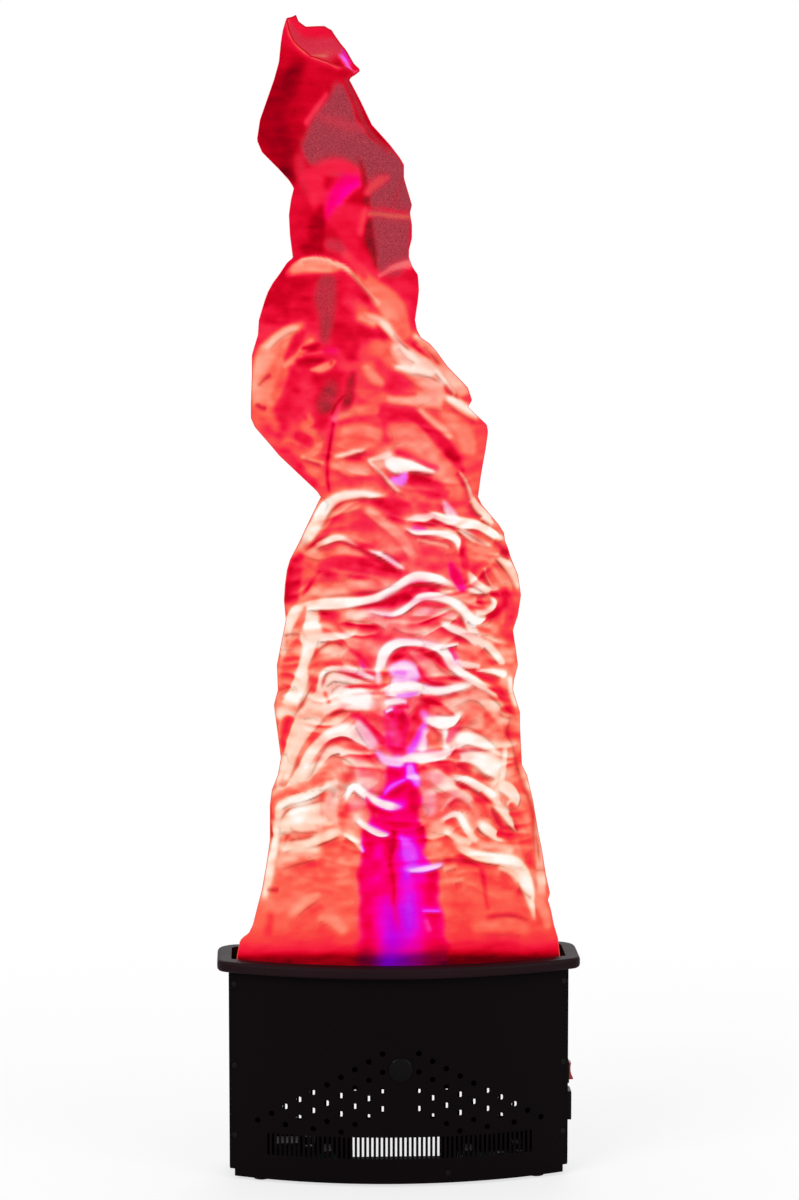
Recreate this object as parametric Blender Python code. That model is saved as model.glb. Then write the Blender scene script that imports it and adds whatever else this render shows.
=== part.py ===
"""Flame effect light: a blower base with lamps and a tall silk sleeve.

The base is a shallow steel box with a bowed front.  Two fans under its deck
blow air up into an open silk sleeve, and three lamp clusters light the silk
from below.  Metres, +Z up, the front faces -Y, and the origin is the middle
of the footprint on the ground.
"""
import math

import bmesh
import bpy
from mathutils import Matrix, Vector

# Overall sizes of the base
BODY_WIDTH = 0.360
BODY_DEPTH = 0.106
FRONT_RADIUS = 0.4076
BASE_HEIGHT = 0.237
FOOT_HEIGHT = 0.003
SHEET = 0.0015
SIDE_SHEET = 0.0012
GAP = 0.0003
FRONT_CORNER = 0.003
REAR_CORNER = 0.010
LEAST_ROUND = 0.0005
FRONT_STEPS = 28
ARC_STEPS = 14
FLANGE_STEPS = 3
CORNER_STEPS = 4
REAR_STEPS = 6

# Top rim, a moulding that caps the walls
RIM_OVERHANG = 0.012
RIM_HEIGHT = 0.012
RIM_ROUND = 0.0035
RIM_LEG = 0.0012
ROUND_STEPS = 3

# Walls
FLANGE_WIDTH = 0.017
PLINTH_HEIGHT = 0.012
PLINTH_INSET = 0.0055
PAN_SHEET = 0.0012
PANEL_LIFT = 0.0005

# Round vent holes of the front, a pattern of falling rows on each side
HOLE_DIAMETER = 0.0062
HOLE_FIRST_X = 0.019
HOLE_FIRST_Z = 0.1435
HOLE_PITCH_X = 0.01455
HOLE_FALL = 0.00856
HOLE_ROW_PITCH = 0.0197
HOLE_COLUMNS = (10, 8, 6, 4)
HOLE_SIDES = 10
HOLE_REACH = 0.030

# Upright vent slots, front and rear
SLOT_COUNT = 57
SLOT_PITCH = 0.00496
SLOT_WIDTH = 0.0023
SLOT_BOTTOM = 0.030
SLOT_HEIGHT = 0.0235
REAR_SLOT_COUNT = 53
REAR_SLOT_BOTTOM = 0.047
REAR_SLOT_HEIGHT = 0.031
REAR_NOTCH_WIDTH = 0.095
REAR_NOTCH_TOP = 0.026

# Round disc on the front
DISC_DIAMETER = 0.025
DISC_THICKNESS = 0.0022
DISC_Z = 0.1265
DISC_SIDES = 24
DISC_EDGE = 0.4

# Deck, with the fan outlets and the lamp windows
DECK_DROP = 0.018
DECK_SKIRT = 0.009
CLAMP_INSET = 0.008
CLAMP_WIDTH = 0.0045
CLAMP_HEIGHT = 0.007

# Fans
FAN_Y = 0.0035
FAN_SIZE = 0.070
FAN_HEIGHT = 0.032
FAN_BORE = 0.066
FAN_HUB = 0.028
FAN_TIP_GAP = 0.0012
FAN_CORNER = 0.004
FAN_HOLE_INSET = 0.0042
FAN_HOLE_DIAMETER = 0.0042
FAN_SIDES = 28
OUTLET_SIDES = 26
ROTOR_GAP = 0.0006
BLADE_COUNT = 7
BLADE_THICKNESS = 0.0012
BLADE_HEIGHT = 0.019
BLADE_SWEEP = 34.0
BLADE_NARROWING = 0.25
BLADE_CURVE = 1.25
BLADE_STATIONS = 3
BLADE_POINTS = 4
SHAFT_DIAMETER = 0.003
BEARING_DIAMETER = 0.008
BEARING_HEIGHT = 0.008
BEARING_SIDES = 20
BORE_SIDES = 16
HUB_SIDES = 24
HUB_CUP = 0.027
HUB_CUP_HEIGHT = 0.003
STRUT_WIDTH = 0.004
GUARD_WIRE = 0.002
GUARD_RINGS = (0.010, 0.018, 0.026)
GUARD_TURNS = (45.0, 135.0)
GUARD_WELD = 0.45
RING_STEPS = 16
RING_SIDES = 4
BAR_SIDES = 6
GUARD_SMOOTHING = 50.0

# Lamp clusters: a board, a lens and a heatsink each
LAMP_GAP = 0.004
LAMP_Y = 0.0145
LAMP_WIDTH = 0.048
LAMP_DEPTH = 0.050
WINDOW_MARGIN = 0.004
LENS_PLATE = 0.0022
LENS_DOME = 0.0065
LENS_FLATTENING = 0.75
LENS_SIDES = 12
LENS_PITCH = 0.014
BOARD_THICKNESS = 0.0016
EMITTER_SIZE = 0.0035
EMITTER_HEIGHT = 0.0008
SINK_BASE = 0.004
SINK_FIN = 0.018
SINK_FIN_COUNT = 7
SINK_FIN_THICKNESS = 0.0016

# Circuit boards on the pan
PCB_THICKNESS = 0.0016
PCB_STANDOFF = 0.006
PCB_DEPTH = 0.052
PCB_Y = 0.0165
POWER_WIDTH = 0.096
POWER_EDGE = 0.019
CONTROL_WIDTH = 0.080
CONTROL_EDGE = 0.036
STANDOFF_INSET = 0.005
STANDOFF_DIAMETER = 0.006
STANDOFF_SIDES = 12
CAN_SIDES = 16
# Components of the boards: x and y from the board's middle, width, depth, height
POWER_BLOCKS = (
    (-0.006, 0.004, 0.026, 0.028, 0.020),
    (0.036, 0.000, 0.010, 0.030, 0.012),
    (-0.040, -0.002, 0.009, 0.022, 0.010),
)
CONTROL_BLOCKS = (
    (0.000, 0.002, 0.016, 0.016, 0.0025),
    (-0.028, 0.002, 0.009, 0.026, 0.010),
    (0.026, 0.010, 0.014, 0.018, 0.014),
)
# Round components: x and y from the board's middle, radius, height
POWER_CANS = ((0.018, 0.014, 0.007, 0.022), (0.018, -0.006, 0.005, 0.016))
CONTROL_CANS = ((0.004, -0.019, 0.004, 0.010), (0.026, -0.014, 0.004, 0.010))

# Switch on the right wall
SWITCH_Z = 0.1085
SWITCH_HEIGHT = 0.024
SWITCH_WIDTH = 0.016
SWITCH_BEZEL = 0.002
SWITCH_BODY_HEIGHT = 0.0216
SWITCH_BODY_WIDTH = 0.0142
SWITCH_BODY_DEPTH = 0.013
SWITCH_CORNER = 0.0012
SWITCH_POCKET = 0.0068
TAB_WIDTH = 0.0048
TAB_THICKNESS = 0.0008
TAB_LENGTH = 0.007
TAB_SPREAD = 0.012
ROCKER_HEIGHT = 0.018
ROCKER_WIDTH = 0.0116
ROCKER_ROOM = 0.0007
ROCKER_TILT = 8.0
ROCKER_TIP = 0.0055
ROCKER_DIP = 0.0038
ROCKER_DEPTH = 0.0040
ROCKER_STEPS = 6

# Power inlet on the right wall
INLET_EDGE = 0.0026
INLET_Z = 0.073
INLET_HEIGHT = 0.031
INLET_WIDTH = 0.027
INLET_FLANGE = 0.004
INLET_BODY_HEIGHT = 0.0278
INLET_BODY_WIDTH = 0.0238
INLET_BODY_DEPTH = 0.020
INLET_CORNER = 0.003
CAVITY_HEIGHT = 0.0244
CAVITY_WIDTH = 0.0168
CAVITY_DEPTH = 0.018
CAVITY_CHAMFER = 0.0042
PIN_THICKNESS = 0.002
PIN_WIDTH = 0.004
PIN_LENGTH = 0.014
PIN_TAIL = 0.008
PIN_SPREAD = 0.007
PIN_OFFSET = 0.002

# Feet
FOOT_DIAMETER = 0.018
FOOT_TAPER = 0.92
FOOT_CHAMFER = 0.3
FOOT_SIDES = 24
FOOT_SIDE_INSET = 0.034
FOOT_REAR_INSET = 0.019
FOOT_SPACING = 0.044

# Silk sleeve
SILK_WALL = 0.0010
SILK_TOP = 1.2204
SILK_AROUND = 18
SILK_ROWS = 30
SILK_CLEARANCE = 0.0006
SILK_SMOOTHING = 80.0
# height, left edge, right edge, half depth
SILK_STATIONS = (
    (0.242, -0.1663, 0.1666, 0.040),
    (0.275, -0.1540, 0.1620, 0.043),
    (0.307, -0.1450, 0.1575, 0.045),
    (0.404, -0.1350, 0.1380, 0.047),
    (0.510, -0.1300, 0.1240, 0.045),
    (0.552, -0.1280, 0.1195, 0.045),
    (0.626, -0.1184, 0.1265, 0.042),
    (0.689, -0.1014, 0.1095, 0.035),
    (0.731, -0.0815, 0.0875, 0.030),
    (0.773, -0.1220, 0.0885, 0.035),
    (0.804, -0.1530, 0.0915, 0.038),
    (0.846, -0.1518, 0.0706, 0.038),
    (0.897, -0.1433, 0.0258, 0.034),
    (0.959, -0.1190, 0.0154, 0.030),
    (1.001, -0.1107, 0.0102, 0.028),
    (1.046, -0.1063, 0.0071, 0.028),
    (1.083, -0.1424, 0.0000, 0.030),
    (1.124, -0.1357, -0.0227, 0.029),
    (1.175, -0.1213, -0.0494, 0.027),
    (1.2204, -0.1150, -0.0700, 0.025),
)
SILK_FOLD_COUNT = 5
SILK_FOLD_DEPTH = 0.006
SILK_FOLD_TWIST = 4.0
SILK_WAVE_COUNT = 9
SILK_WAVE_DEPTH = 0.007
SILK_WAVE_SLANT = 2.0
SILK_GROWTH = 0.100
SILK_SQUARENESS = 0.62
MOUTH_DROP = 0.056
MOUTH_TIP = 150.0
HEM_SLACK = 0.004
FREE_SLACK = 0.050
SIDE_SLACK = 10

# Values that follow from the sizes above
HALF_WIDTH = BODY_WIDTH / 2
REAR_Y = BODY_DEPTH / 2
ARC_Y = FRONT_RADIUS - BODY_DEPTH / 2
PAN_BOTTOM = FOOT_HEIGHT + GAP
PANEL_BOTTOM = FOOT_HEIGHT + PANEL_LIFT
PANEL_TOP = BASE_HEIGHT - SHEET - GAP
RIM_BOTTOM = BASE_HEIGHT - RIM_HEIGHT
LEG_INSET = SHEET + GAP
DECK_TOP = BASE_HEIGHT - DECK_DROP
DECK_UNDER = DECK_TOP - SHEET
FAN_TOP = DECK_UNDER - GAP
FAN_BOTTOM = FAN_TOP - FAN_HEIGHT
LENS_TOP = DECK_UNDER - GAP
BOARD_TOP = LENS_TOP - LENS_PLATE - GAP - EMITTER_HEIGHT
SINK_TOP = BOARD_TOP - BOARD_THICKNESS - GAP
FAN_X = LAMP_WIDTH / 2 + LAMP_GAP + FAN_SIZE / 2
LAMP_X = FAN_X + FAN_SIZE / 2 + LAMP_GAP + LAMP_WIDTH / 2
POWER_X = POWER_EDGE + POWER_WIDTH / 2 - HALF_WIDTH
CONTROL_X = HALF_WIDTH - CONTROL_EDGE - CONTROL_WIDTH / 2
CORNER_X = HALF_WIDTH - FRONT_CORNER
CORNER_Y = ARC_Y - math.sqrt((FRONT_RADIUS - FRONT_CORNER) ** 2 - CORNER_X ** 2)
INLET_Y = CORNER_Y + INLET_EDGE + INLET_WIDTH / 2
SWITCH_Y = INLET_Y
FOOT_X = HALF_WIDTH - FOOT_SIDE_INSET
FOOT_REAR_Y = REAR_Y - FOOT_REAR_INSET
FOOT_FRONT_Y = FOOT_REAR_Y - FOOT_SPACING


def clear_scene():
    """Remove every object that the file starts with."""
    for thing in list(bpy.data.objects):
        bpy.data.objects.remove(thing, do_unlink=True)


def material(name, colour, roughness, metallic=0.0):
    """Return a Principled material of one colour."""
    found = bpy.data.materials.get(name)
    if found:
        return found
    made = bpy.data.materials.new(name)
    made.use_nodes = True
    shader = made.node_tree.nodes["Principled BSDF"]
    shader.inputs["Base Color"].default_value = (*colour, 1.0)
    shader.inputs["Roughness"].default_value = roughness
    shader.inputs["Metallic"].default_value = metallic
    made.diffuse_color = (*colour, 1.0)
    return made


def black_paint():
    """Black powder coat on steel sheet."""
    return material("black_powder_coat", (0.008, 0.008, 0.009), 0.45)


def bare_aluminium():
    """Plain aluminium of the heatsinks."""
    return material("plain_aluminium", (0.62, 0.63, 0.65), 0.35, 1.0)


def bright_steel():
    """Plated steel of wires, shafts and bearings."""
    return material("plated_steel", (0.55, 0.55, 0.56), 0.3, 1.0)


def black_plastic():
    """Moulded black plastic."""
    return material("black_plastic", (0.010, 0.010, 0.011), 0.35)


def green_board():
    """Green circuit board."""
    return material("green_circuit_board", (0.02, 0.13, 0.05), 0.4)


def white_board():
    """White lamp board."""
    return material("white_lamp_board", (0.80, 0.80, 0.78), 0.4)


def clear_lens():
    """Clear acrylic of the lenses."""
    return material("clear_acrylic", (0.85, 0.87, 0.90), 0.05)


def red_plastic():
    """Red plastic of the rocker."""
    return material("red_plastic", (0.55, 0.01, 0.01), 0.3)


def brass_metal():
    """Brass of the inlet pins."""
    return material("plated_brass", (0.70, 0.55, 0.25), 0.3, 1.0)


def black_rubber():
    """Rubber of the feet."""
    return material("black_rubber", (0.015, 0.015, 0.015), 0.8)


def red_silk():
    """Flame coloured silk."""
    return material("flame_silk", (0.75, 0.03, 0.02), 0.6)


def add_object(name, points, faces, finish):
    """Make one object from points and faces, with its faces turned outwards."""
    mesh = bpy.data.meshes.new(name)
    work = bmesh.new()
    corners = [work.verts.new(p) for p in points]
    for face in faces:
        work.faces.new([corners[i] for i in face])
    bmesh.ops.recalc_face_normals(work, faces=work.faces)
    work.to_mesh(mesh)
    work.free()
    mesh.materials.append(finish)
    made = bpy.data.objects.new(name, mesh)
    bpy.context.scene.collection.objects.link(made)
    return made


def prism(name, outline, low, high, finish):
    """Raise a flat outline from low to high along Z."""
    count = len(outline)
    points = [(x, y, low) for x, y in outline]
    points += [(x, y, high) for x, y in outline]
    faces = [tuple(range(count)), tuple(range(count, 2 * count))]
    for i in range(count):
        j = (i + 1) % count
        faces.append((i, j, count + j, count + i))
    return add_object(name, points, faces, finish)


def side_prism(name, outline, low, high, finish):
    """Raise an outline of X and Z from low to high along Y."""
    made = prism(name, [(x, z) for x, z in outline], low, high, finish)
    turn = Matrix(((1, 0, 0, 0), (0, 0, 1, 0), (0, 1, 0, 0), (0, 0, 0, 1)))
    made.data.transform(turn)
    made.data.flip_normals()
    return made


def wall_prism(name, outline, low, high, finish):
    """Raise an outline of Y and Z from low to high along X."""
    made = prism(name, outline, low, high, finish)
    turn = Matrix(((0, 0, 1, 0), (1, 0, 0, 0), (0, 1, 0, 0), (0, 0, 0, 1)))
    made.data.transform(turn)
    return made


def rectangle(x, y, width, depth):
    """Corners of a rectangle about a centre."""
    a = width / 2
    b = depth / 2
    return [(x - a, y - b), (x + a, y - b), (x + a, y + b), (x - a, y + b)]


def circle(x, y, radius, count):
    """Points of a circle about a centre."""
    step = 2 * math.pi / count
    return [(x + radius * math.cos(i * step), y + radius * math.sin(i * step))
            for i in range(count)]


def rounded_rectangle(x, y, width, depth, radius, steps=4):
    """Points of a rectangle with round corners."""
    points = []
    for k, (sx, sy) in enumerate(((1, 1), (-1, 1), (-1, -1), (1, -1))):
        cx = x + sx * (width / 2 - radius)
        cy = y + sy * (depth / 2 - radius)
        for i in range(steps + 1):
            angle = math.pi / 2 * (k + i / steps)
            points.append((cx + radius * math.cos(angle), cy + radius * math.sin(angle)))
    return points


def turned(name, profile, steps, finish):
    """Turn a profile of radius and height about Z, closed at both ends."""
    points = []
    for radius, height in profile:
        for x, y in circle(0, 0, radius, steps):
            points.append((x, y, height))
    rows = len(profile)
    faces = [tuple(range(steps)), tuple(range((rows - 1) * steps, rows * steps))]
    for r in range(rows - 1):
        for i in range(steps):
            j = (i + 1) % steps
            faces.append((r * steps + i, r * steps + j,
                          (r + 1) * steps + j, (r + 1) * steps + i))
    return add_object(name, points, faces, finish)


def smooth(thing, angle=35.0):
    """Shade round faces smooth and keep sharp edges."""
    thing.data.shade_smooth()
    thing.data.set_sharp_from_angle(angle=math.radians(angle))
    return thing


def merge_cutters(parts):
    """Join cutter objects into one mesh that isn't part of the model."""
    work = bmesh.new()
    for part in parts:
        work.from_mesh(part.data)
    mesh = bpy.data.meshes.new("cutter")
    work.to_mesh(mesh)
    work.free()
    made = bpy.data.objects.new("cutter_" + parts[0].name, mesh)
    bpy.context.scene.collection.objects.link(made)
    made.hide_render = True
    made.display_type = "WIRE"
    for part in parts:
        bpy.data.objects.remove(part, do_unlink=True)
    return made


def apply_boolean(thing, other, operation):
    """Apply one exact Boolean and remove the other object."""
    change = thing.modifiers.new("boolean", "BOOLEAN")
    change.operation = operation
    change.solver = "EXACT"
    change.object = other
    view = bpy.context.evaluated_depsgraph_get()
    view.update()
    mesh = bpy.data.meshes.new_from_object(thing.evaluated_get(view))
    thing.modifiers.clear()
    old = thing.data
    thing.data = mesh
    mesh.name = thing.name
    bpy.data.meshes.remove(old)
    bpy.data.objects.remove(other, do_unlink=True)
    return thing


def cut(thing, parts):
    """Cut the parts out of the thing."""
    return apply_boolean(thing, merge_cutters(parts), "DIFFERENCE")


def fuse(thing, parts):
    """Fuse parts that don't touch each other with the thing."""
    return apply_boolean(thing, merge_cutters(parts), "UNION")


def plan_half(side, front, rear, end_front=None, end_rear=None):
    """Right half of the body outline, set in by the three given amounts.

    The front is an arc about (0, ARC_Y), the corner between the arc and the
    side is a fillet, and the rear corner is a quarter circle.  The points run
    from the middle of the front, or end_front, to the middle of the rear, or
    end_rear.
    """
    radius = FRONT_RADIUS - front
    half = HALF_WIDTH - side
    back = REAR_Y - rear
    front_round = max(FRONT_CORNER - max(side, front), LEAST_ROUND)
    rear_round = max(REAR_CORNER - max(side, rear), LEAST_ROUND)
    corner_x = half - front_round
    reach = radius - front_round
    corner_y = ARC_Y - math.sqrt(reach * reach - corner_x * corner_x)
    last = math.atan2(corner_x, ARC_Y - corner_y)
    first = 0.0 if end_front is None else math.asin(end_front / radius)
    arc_steps = ARC_STEPS if end_front is None else FLANGE_STEPS
    points = []
    for i in range(arc_steps + 1):
        angle = first + (last - first) * i / arc_steps
        points.append((radius * math.sin(angle), ARC_Y - radius * math.cos(angle)))
    for i in range(1, CORNER_STEPS + 1):
        angle = last + (math.pi / 2 - last) * i / CORNER_STEPS
        points.append((corner_x + front_round * math.sin(angle),
                       corner_y - front_round * math.cos(angle)))
    for i in range(REAR_STEPS + 1):
        angle = math.pi / 2 * (1 + i / REAR_STEPS)
        points.append((half - rear_round + rear_round * math.sin(angle),
                       back - rear_round - rear_round * math.cos(angle)))
    points.append((0.0 if end_rear is None else end_rear, back))
    return points


def plan(side, front=None, rear=None):
    """Whole closed outline of the body, set in by the given amounts."""
    front = side if front is None else front
    rear = side if rear is None else rear
    right = plan_half(side, front, rear)
    left = [(-x, y) for x, y in reversed(right[1:-1])]
    return right + left


def swept_ring(name, profile, finish):
    """Carry a closed profile of inset and height round the body outline."""
    loops = []
    for inset, height in profile:
        loops.append([(x, y, height) for x, y in plan(inset)])
    around = len(loops[0])
    points = [p for loop in loops for p in loop]
    faces = []
    rows = len(loops)
    for r in range(rows):
        s = (r + 1) % rows
        for i in range(around):
            j = (i + 1) % around
            faces.append((r * around + i, r * around + j, s * around + j, s * around + i))
    return add_object(name, points, faces, finish)


def stacked_loops(name, loops, finish):
    """Close a body from loops of points, with a cap on the first and last."""
    around = len(loops[0])
    points = [p for loop in loops for p in loop]
    rows = len(loops)
    faces = [tuple(range(around)), tuple(range((rows - 1) * around, rows * around))]
    for r in range(rows - 1):
        for i in range(around):
            j = (i + 1) % around
            faces.append((r * around + i, r * around + j,
                          (r + 1) * around + j, (r + 1) * around + i))
    return add_object(name, points, faces, finish)


def at_height(outline, height):
    """Give an outline a height."""
    return [(x, y, height) for x, y in outline]


def make_bottom_pan():
    """Shallow tray: a floor, an upturned wall and a lip that carries the walls."""
    wall = PLINTH_INSET
    inner = PLINTH_INSET + PAN_SHEET
    lip_top = PLINTH_HEIGHT - GAP
    lip = (GAP, SHEET + GAP, SHEET + GAP)
    loops = [
        at_height(plan(wall), PAN_BOTTOM),
        at_height(plan(wall), lip_top - PAN_SHEET),
        at_height(plan(*lip), lip_top - PAN_SHEET),
        at_height(plan(*lip), lip_top),
        at_height(plan(inner), lip_top),
        at_height(plan(inner), PAN_BOTTOM + PAN_SHEET),
    ]
    pan = stacked_loops("bottom_pan", loops, black_paint())
    low = PAN_BOTTOM + PAN_SHEET + GAP
    notch = prism("pan_notch", rectangle(0, REAR_Y, REAR_NOTCH_WIDTH, 4 * PLINTH_INSET),
                  low, PLINTH_HEIGHT + GAP, black_paint())
    return cut(pan, [notch])


def front_y(x, inset=0.0):
    """Y of the bowed front at x."""
    radius = FRONT_RADIUS - inset
    return ARC_Y - math.sqrt(radius * radius - x * x)


def make_front_panel():
    """Bowed sheet with its pattern of holes and its row of slots."""
    end = HALF_WIDTH - FRONT_CORNER / 2
    last = math.asin(end / FRONT_RADIUS)
    outer = []
    inner = []
    inner_last = math.asin(end / (FRONT_RADIUS - SHEET))
    for i in range(FRONT_STEPS + 1):
        share = -1 + 2 * i / FRONT_STEPS
        a = last * share
        b = inner_last * share
        outer.append((FRONT_RADIUS * math.sin(a), ARC_Y - FRONT_RADIUS * math.cos(a)))
        inner.append(((FRONT_RADIUS - SHEET) * math.sin(b),
                      ARC_Y - (FRONT_RADIUS - SHEET) * math.cos(b)))
    panel = prism("front_panel", outer + inner[::-1], PANEL_BOTTOM, PANEL_TOP, black_paint())
    cutters = []
    for side in (-1, 1):
        cutters += hole_cutters(side)
        cutters.append(corner_cutter(side))
    for i in range(SLOT_COUNT):
        x = (i - (SLOT_COUNT - 1) / 2) * SLOT_PITCH
        spot = rectangle(x, front_y(x), SLOT_WIDTH, HOLE_REACH)
        cutters.append(prism("slot", spot, SLOT_BOTTOM, SLOT_BOTTOM + SLOT_HEIGHT, black_paint()))
    return smooth(cut(panel, cutters))


def hole_cutters(side):
    """Round cutters of one half of the hole pattern."""
    made = []
    for row, columns in enumerate(HOLE_COLUMNS):
        for column in range(columns):
            x = side * (HOLE_FIRST_X + HOLE_PITCH_X * column)
            z = HOLE_FIRST_Z - HOLE_ROW_PITCH * row - HOLE_FALL * column
            y = front_y(x)
            ring = circle(x, z, HOLE_DIAMETER / 2, HOLE_SIDES)
            made.append(side_prism("hole", ring, y - HOLE_REACH / 2, y + HOLE_REACH / 2,
                                   black_paint()))
    return made


def corner_cutter(side):
    """Cutter that sets the lower corner of the front panel in over the plinth."""
    inner = HALF_WIDTH - PLINTH_INSET
    outer = HALF_WIDTH + PLINTH_INSET
    spot = [(side * inner, -REAR_Y), (side * outer, -REAR_Y), (side * outer, INLET_Y),
            (side * inner, INLET_Y)]
    return prism("corner", spot, 0.0, PLINTH_HEIGHT, black_paint())


def side_strip(name, side):
    """Folded side wall with a flange behind the front and one behind the rear."""
    end = HALF_WIDTH - FLANGE_WIDTH
    fit = SHEET + GAP
    outer = plan_half(0.0, fit, fit, end, end)
    inner = plan_half(SIDE_SHEET, fit + SIDE_SHEET, fit + SIDE_SHEET, end, end)
    outline = outer + inner[::-1]
    if side < 0:
        outline = [(-x, y) for x, y in reversed(outline)]
    return prism(name, outline, PLINTH_HEIGHT, PANEL_TOP, black_paint())


def leg_room():
    """Ring cutter that keeps the wall flanges clear of the rim's inner leg."""
    low = RIM_BOTTOM - GAP
    high = BASE_HEIGHT
    near = LEG_INSET - GAP
    far = LEG_INSET + RIM_LEG + 2 * GAP
    ring = [(near, low), (near, high), (far, high), (far, low)]
    return swept_ring("leg_room", ring, black_paint())


def make_side_panels():
    """Left and right walls; the right one has the switch and inlet openings."""
    left = cut(side_strip("left_side_panel", -1), [leg_room()])
    right = cut(side_strip("right_side_panel", 1), [leg_room()])
    holes = []
    for y, z, width, height in (
            (SWITCH_Y, SWITCH_Z, SWITCH_BODY_WIDTH, SWITCH_BODY_HEIGHT),
            (INLET_Y, INLET_Z, INLET_BODY_WIDTH, INLET_BODY_HEIGHT)):
        spot = rectangle(y, z, width + 2 * GAP, height + 2 * GAP)
        holes.append(wall_prism("opening", spot, HALF_WIDTH - INLET_BODY_DEPTH,
                                HALF_WIDTH + INLET_BODY_DEPTH, black_paint()))
    cut(right, holes)
    return smooth(left), smooth(right)


def make_rear_panel():
    """Flat rear sheet with a row of slots and a low notch in the middle."""
    half = HALF_WIDTH - REAR_CORNER
    spot = rectangle(0, REAR_Y - SHEET / 2, 2 * half, SHEET)
    panel = prism("rear_panel", spot, PANEL_BOTTOM, PANEL_TOP, black_paint())
    cutters = []
    for i in range(REAR_SLOT_COUNT):
        x = (i - (REAR_SLOT_COUNT - 1) / 2) * SLOT_PITCH
        spot = rectangle(x, REAR_Y, SLOT_WIDTH, 4 * SHEET)
        high = REAR_SLOT_BOTTOM + REAR_SLOT_HEIGHT
        cutters.append(prism("slot", spot, REAR_SLOT_BOTTOM, high, black_paint()))
    notch = rectangle(0, 0, REAR_NOTCH_WIDTH, 2 * REAR_NOTCH_TOP)
    cutters.append(side_prism("notch", notch, REAR_Y - 4 * SHEET, REAR_Y + 4 * SHEET,
                              black_paint()))
    return cut(panel, cutters)


def make_top_rim():
    """Moulding with a rounded outer edge and a groove over the wall tops."""
    top = BASE_HEIGHT
    out = -RIM_OVERHANG
    profile = [(LEG_INSET + RIM_LEG, RIM_BOTTOM), (LEG_INSET + RIM_LEG, top)]
    for i in range(ROUND_STEPS + 1):
        angle = math.pi / 2 * i / ROUND_STEPS
        profile.append((out + RIM_ROUND - RIM_ROUND * math.sin(angle),
                        top - RIM_ROUND + RIM_ROUND * math.cos(angle)))
    for i in range(ROUND_STEPS + 1):
        angle = math.pi / 2 * i / ROUND_STEPS
        profile.append((out + RIM_ROUND - RIM_ROUND * math.cos(angle),
                        RIM_BOTTOM + RIM_ROUND - RIM_ROUND * math.sin(angle)))
    profile += [(-GAP, RIM_BOTTOM), (-GAP, top - SHEET), (LEG_INSET, top - SHEET),
                (LEG_INSET, RIM_BOTTOM)]
    return smooth(swept_ring("top_rim", profile, black_paint()))


def make_deck_plate():
    """Deck with a folded skirt, two fan outlets and three lamp windows."""
    edge = (SIDE_SHEET + GAP, SHEET + SIDE_SHEET + 2 * GAP, SHEET + SIDE_SHEET + 2 * GAP)
    inside = tuple(v + SHEET for v in edge)
    loops = [
        at_height(plan(*inside), DECK_UNDER),
        at_height(plan(*inside), DECK_TOP - DECK_SKIRT),
        at_height(plan(*edge), DECK_TOP - DECK_SKIRT),
        at_height(plan(*edge), DECK_TOP),
    ]
    deck = stacked_loops("deck_plate", loops, black_paint())
    low = DECK_UNDER - DECK_SKIRT
    high = DECK_TOP + DECK_SKIRT
    cutters = []
    for side in (-1, 1):
        ring = circle(side * FAN_X, FAN_Y, FAN_BORE / 2, OUTLET_SIDES)
        cutters.append(prism("outlet", ring, low, high, black_paint()))
    for x in (-LAMP_X, 0.0, LAMP_X):
        spot = rectangle(x, LAMP_Y, LAMP_WIDTH - 2 * WINDOW_MARGIN,
                         LAMP_DEPTH - 2 * WINDOW_MARGIN)
        cutters.append(prism("window", spot, low, high, black_paint()))
    return cut(deck, cutters)


def make_clamp_frame():
    """Low frame on the deck that holds the hem of the silk."""
    low = DECK_TOP + GAP
    high = low + CLAMP_HEIGHT
    near = CLAMP_INSET
    far = CLAMP_INSET + CLAMP_WIDTH
    ring = [(near, low), (near, high), (far, high), (far, low)]
    return swept_ring("silk_clamp_frame", ring, black_paint())


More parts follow.
